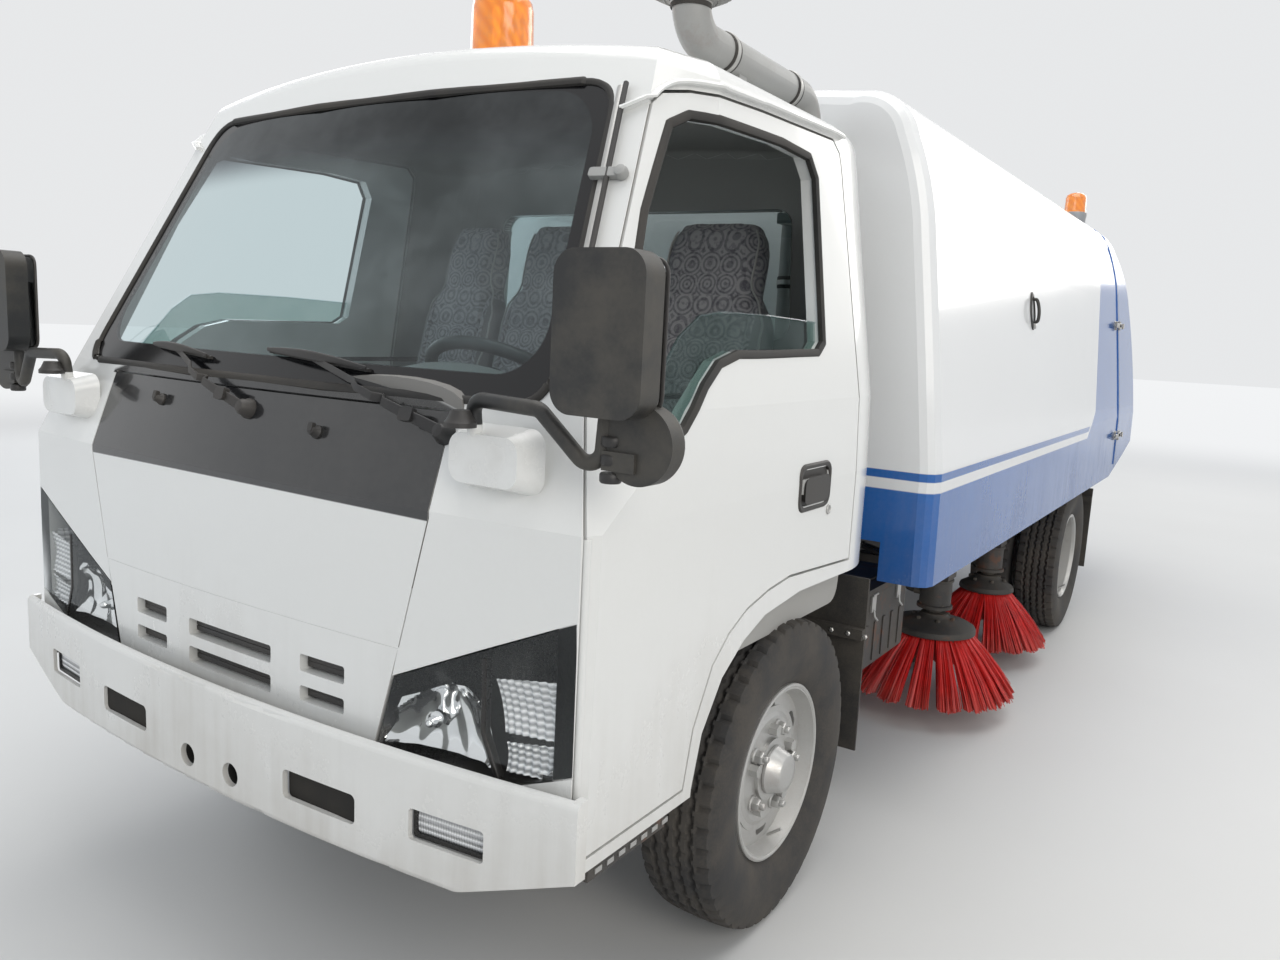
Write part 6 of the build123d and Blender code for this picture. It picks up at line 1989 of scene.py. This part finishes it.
pipe.make("pipe_fittings", "cab", "pipe_grey", pipe_grey, bare_steel, seal_rubber, sharp=40)
print("pipe fittings done")

# %% [markdown]
# The tail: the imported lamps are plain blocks, so each becomes a black tray with three ribbed lenses, red,
# amber and clear. The rear bar carries them on bolts, and each mud flap hangs from a row of bolts.

# %% Tail lamps
for side, hand in sides:
    tail = Shape()
    facing = Matrix(((side, 0, 0, side * 0.690), (0, 0, 1, 2.3705), (0, 1, 0, 0.470), (0, 0, 0, 1)))
    tail.stack(slab(0.120, 0.040, 0.010, 4), ((0.97, 0.0), (1.0, 0.003), (1.0, 0.018), (0.985, 0.020),
                                              (0.975, 0.019)),
               facing, mark=1)
    for x, wide, colour in ((0.066, 0.094, 2), (-0.020, 0.068, 3), (-0.085, 0.052, 0)):
        tail.stack(slab(wide / 2, 0.034, 0.006, 4),
                   ((1.0, 0.019), (1.0, 0.030), (0.985, 0.034), (0.95, 0.0365), (0.80, 0.0385),
                    (0.4, 0.0395)),
                   facing, x, mark=colour)
        for k in range(int(wide / 0.006) - 1):
            dx = x - wide / 2 + 0.006 * (k + 1)
            tail.tube([facing @ Vector((dx, dz, 0.0383 - 0.9 * abs(dz) ** 2)) for dz in (-0.026, 0.0, 0.026)],
                      0.0010, 6, mark=colour)
        for dz in (-0.0315, 0.0315):
            screw = facing @ shift((x, dz, 0.034))
            tail.lathe([(0.003, 0.0), (0.003, 0.0015), (0.002, 0.002)], screw, 12, mark=4)
    piece = tail.make("tail_lamp_" + hand, "chassis", "tail_red", clear_lens, lamp_black, tail_red,
                      beacon_amber, bare_steel, sharp=40)
    if side > 0:
        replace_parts(piece, "tail_lamps")
hardware = Shape()
for side in (1, -1):
    for x in (0.60, 0.78):
        hardware.bolt(0.008, 0.006, shift((side * x, 2.31, 0.5152)))
    for x in (0.320, 0.340):
        for z in (0.60, 0.64):
            hardware.bolt(0.008, 0.006, shift((side * x, 2.3202, z)) @ about("X", -quarter))
    for y in (-1.518, 1.850):
        for k in range(6):
            x = 0.62 + 0.05 * k
            place = shift((side * x, y - 0.0262, 0.640)) @ about("X", quarter)
            hardware.lathe([(0.007, 0.0), (0.007, 0.005), (0.0045, 0.007)], place, 6)
hardware.make("rear_bolts", "chassis", "steel", bare_steel)
print("tail lamps done")

# %% [markdown]
# The sweeper body is a folded steel hopper. Its rear edge has a welded flange, a rubber seal lies between it
# and the discharge door, and toggle clamps with hooks pull the door shut. The flange follows the real
# outline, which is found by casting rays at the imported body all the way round.

# %% Hopper edge
edge_y = 2.316
flange_path = []
for k in range(90):
    a = 2 * math.pi * (k + 0.5) / 90
    way = Vector((math.cos(a), 0, math.sin(a)))
    found = meet("body_housing", Vector((0, edge_y, 1.45)) + way * 2.2, -way)
    if found:
        flange_path.append(found[0])
rim_piece = Shape()
rim_piece.sweep(flange_path, slab(0.009, 0.005, 0.002, 2),
                side=y_axis, looped=True)
rim_piece.sweep([p + Vector((0, 0.0195, 0)) for p in flange_path], circle(0.0045, 10), side=y_axis,
                looped=True, mark=1)
rim_piece.make("hopper_rim", "body", "body_paint", body_white, seal_rubber)
catches = Shape()
hooks = Shape()


def beside(side, foot):
    """A place on the truck's side whose X runs back, Y up and Z outwards."""
    return Matrix(((0, 0, side, foot.x), (1, 0, 0, foot.y), (0, 1, 0, foot.z), (0, 0, 0, 1)))


for side in (1, -1):
    for z in (0.98, 1.62):
        found = side_on("body_housing", side, 2.25, z)
        landing = side_on("rear_door", side, 2.42, z)
        if not found or not landing:
            continue
        turned = beside(side, found[0])
        catches.plate(panel(-0.050, -0.026, 0.035, 0.026, 0.008, 4), -0.002, 0.004, turned)
        for dy in (-0.020, 0.020):
            catches.plate(panel(-0.018, dy - 0.002, 0.022, dy + 0.002, 0.001, 1), 0.002, 0.026, turned)
        catches.tube([turned @ Vector((0.008, -0.027, 0.018)), turned @ Vector((0.008, 0.027, 0.018))], 0.005,
                     12)
        handle = smooth_path([turned @ Vector(p) for p in ((0.008, 0, 0.018), (-0.020, 0, 0.023),
                                                           (-0.070, 0, 0.018), (-0.110, 0, 0.024))], 6)
        catches.sweep(handle, slab(0.013, 0.003, 0.002, 2), side=z_axis)
        for dz in (-0.012, 0.012):
            catches.tube([turned @ Vector((0.006, dz, 0.020)), turned @ Vector((0.140, dz, 0.016))], 0.0035,
                         8)
        catches.tube([turned @ Vector((0.140, -0.014, 0.016)), turned @ Vector((0.140, 0.014, 0.016))],
                     0.0042, 8)
        for y in (-0.038, 0.026):
            catches.lathe([(0.006, 0.003), (0.006, 0.008), (0.004, 0.010)], turned @ shift((y, 0, 0)), 6)
        turned = beside(side, landing[0])
        hooks.plate(panel(-0.040, -0.022, 0.030, 0.022, 0.008, 4), -0.004, 0.004, turned)
        bend = [turned @ Vector(p) for p in ((-0.010, 0, 0.002), (-0.020, 0, 0.010), (-0.022, 0, 0.020),
                                             (-0.034, 0, 0.026))]
        hooks.sweep(smooth_path(bend, 5), slab(0.016, 0.003, 0.002, 2), side=z_axis)
catches.make("door_catches", "body", "steel", bare_steel)
hooks.make("door_hooks", "discharge_door", "steel", bare_steel)
print("hopper edge", len(flange_path))

# %% [markdown]
# On its left side the hopper carries a pull latch, the dark oval that shows in the side light. The tail
# door has two grab bars and two folded ribs across it.

# %% Hopper fittings
latch = Shape()
found = side_on("body_housing", 1, 0.02, 1.61)
if found:
    foot = found[0]
    lean = found[1]
    place = stand_on(foot, lean)
    cup_rows = [(0.060, -0.004), (0.060, 0.003), (0.054, 0.006), (0.046, 0.006), (0.043, -0.002)]
    rows = []
    for r, h in cup_rows:
        rows.append([place @ Vector((x * r * 0.62, y * r * 1.25, h)) for x, y in circle(1.0, 44)])
    latch.rings(rows)
    latch.tube(smooth_path([place @ Vector(p) for p in ((0, 0.045, 0.004), (0, 0.040, 0.020), (0, 0.0, 0.026),
                                                        (0, -0.040, 0.020), (0, -0.045, 0.004))], 6), 0.0065,
               14)
    latch.lathe([(0.012, 0.0), (0.012, 0.008), (0.009, 0.010)], place @ shift((0, -0.060, 0.003)), 24, mark=1)
latch.make("side_latch", "body", "rubber", mirror_black, bare_steel)


def tail_on(x, z):
    """A point on the discharge door, seen from straight behind."""
    return meet("rear_door", (x, 5.0, z), (0, -1, 0))


bars = Shape()
for x in (-0.42, 0.42):
    ends = [tail_on(x, 1.02), tail_on(x, 1.44)]
    if all(ends):
        low, high = ends[0][0], ends[1][0]
        out = Vector((0, 0.055, 0))
        bars.tube(smooth_path([low, low + out * 0.8, low + out + Vector((0, 0, 0.04)),
                               high + out - Vector((0, 0, 0.04)), high + out * 0.8, high], 6), 0.011, 16)
        for spot, normal in ends:
            flat = stand_on(spot, normal)
            bars.lathe([(0.026, -0.002), (0.026, 0.004), (0.012, 0.006)], flat, 28)
for z in (0.97, 1.52):
    spots = [tail_on(x, z) for x in [k / 20 * 1.5 - 0.75 for k in range(21)]]
    line = [spot[0] for spot in spots if spot]
    if len(line) > 3:
        bars.sweep(line, wedge(0.022, -0.004, 0.016, 0.012, 0.003, 2), side=z_axis, mark=1)
        bars.sweep(line, wedge(0.016, -0.012, 0.022, 0.004, 0.003, 2), side=z_axis, mark=1)
bars.make("tail_bars", "discharge_door", "body_paint", bare_steel, body_white)
print("hopper fittings done")

# %% [markdown]
# Under the truck: straps and a filler cap on the fuel tank, a lid with catches and ribs on the battery box,
# and pressed ovals on the steps, which give a boot some grip.

# %% Under the truck


def strap(shape, low, high, y, thick, wide, mark=0):
    """A flat band round a box in the X-Z plane, with bent corners."""
    (x0, z0), (x1, z1) = low, high
    loop = panel(x0 - thick, z0 - thick, x1 + thick, z1 + thick, 0.03, 5)
    shape.sweep([(x, y, z) for x, z in loop], panel(-wide / 2, -0.0018, wide / 2, 0.0018, 0.001, 1),
                side=y_axis, looped=True, mark=mark)


under = Shape()
for y in (-1.13, -0.83):
    strap(under, (-0.775, 0.375), (-0.365, 0.665), y, 0.004, 0.040)
    under.tube([(-0.786, y, 0.53), (-0.786, y, 0.60)], 0.005, 10, mark=1)
    under.block((0.016, 0.030, 0.020), shift((-0.787, y, 0.60)), 0.003, mark=1)
filler = shift((-0.772, -0.98, 0.620)) @ about("Y", -quarter)
under.lathe([(0.030, -0.004), (0.034, 0.0), (0.034, 0.022), (0.030, 0.026), (0.006, 0.027)], filler, 32,
            mark=2)
lid = panel(0.352, -1.258, 0.758, -0.822, 0.016, 4)
under.plate(lid, 0.664, 0.684)
under.plate(panel(0.40, -1.21, 0.71, -0.87, 0.02, 4), 0.684, 0.690)
for y in (-1.16, -0.92):
    under.block((0.006, 0.036, 0.070), shift((0.7535, y, 0.640)), mark=1)
    under.tube([(0.757, y - 0.022, 0.662), (0.757, y + 0.022, 0.662)], 0.005, 10, mark=1)
    under.tube([(0.757, y, 0.612), (0.761, y, 0.590), (0.772, y, 0.578)], 0.004, 8, mark=1)
for y in (-1.20, -1.12, -1.04, -0.96, -0.88):
    under.block((0.006, 0.020, 0.13), shift((0.751, y, 0.50)))
for side in (1, -1):
    for row in range(3):
        for k in range(8):
            x = side * (0.735 + row * 0.048)
            y = -2.822 + k * 0.0292
            turn = shift((x, y, 0.5365)) @ about("Z", math.pi / 4 if (k + row) % 2 else -math.pi / 4)
            ring = [(0.0125 * math.cos(a), 0.0045 * math.sin(a)) for a in [2 * math.pi * j / 12
                                                                           for j in range(12)]]
            under.rings([[turn @ Vector((px, py, 0)) for px, py in ring],
                         [turn @ Vector((px * 0.8, py * 0.6, 0.0040)) for px, py in ring]], mark=1)
    for k in range(7):
        under.block((0.003, 0.020, 0.010), shift((side * 0.8705, -2.815 + k * 0.0365, 0.5250)), mark=1)
under.make("under_fittings", "chassis", "frame_paint", chassis_black, bare_steel, hub_black)
print("under fittings done")
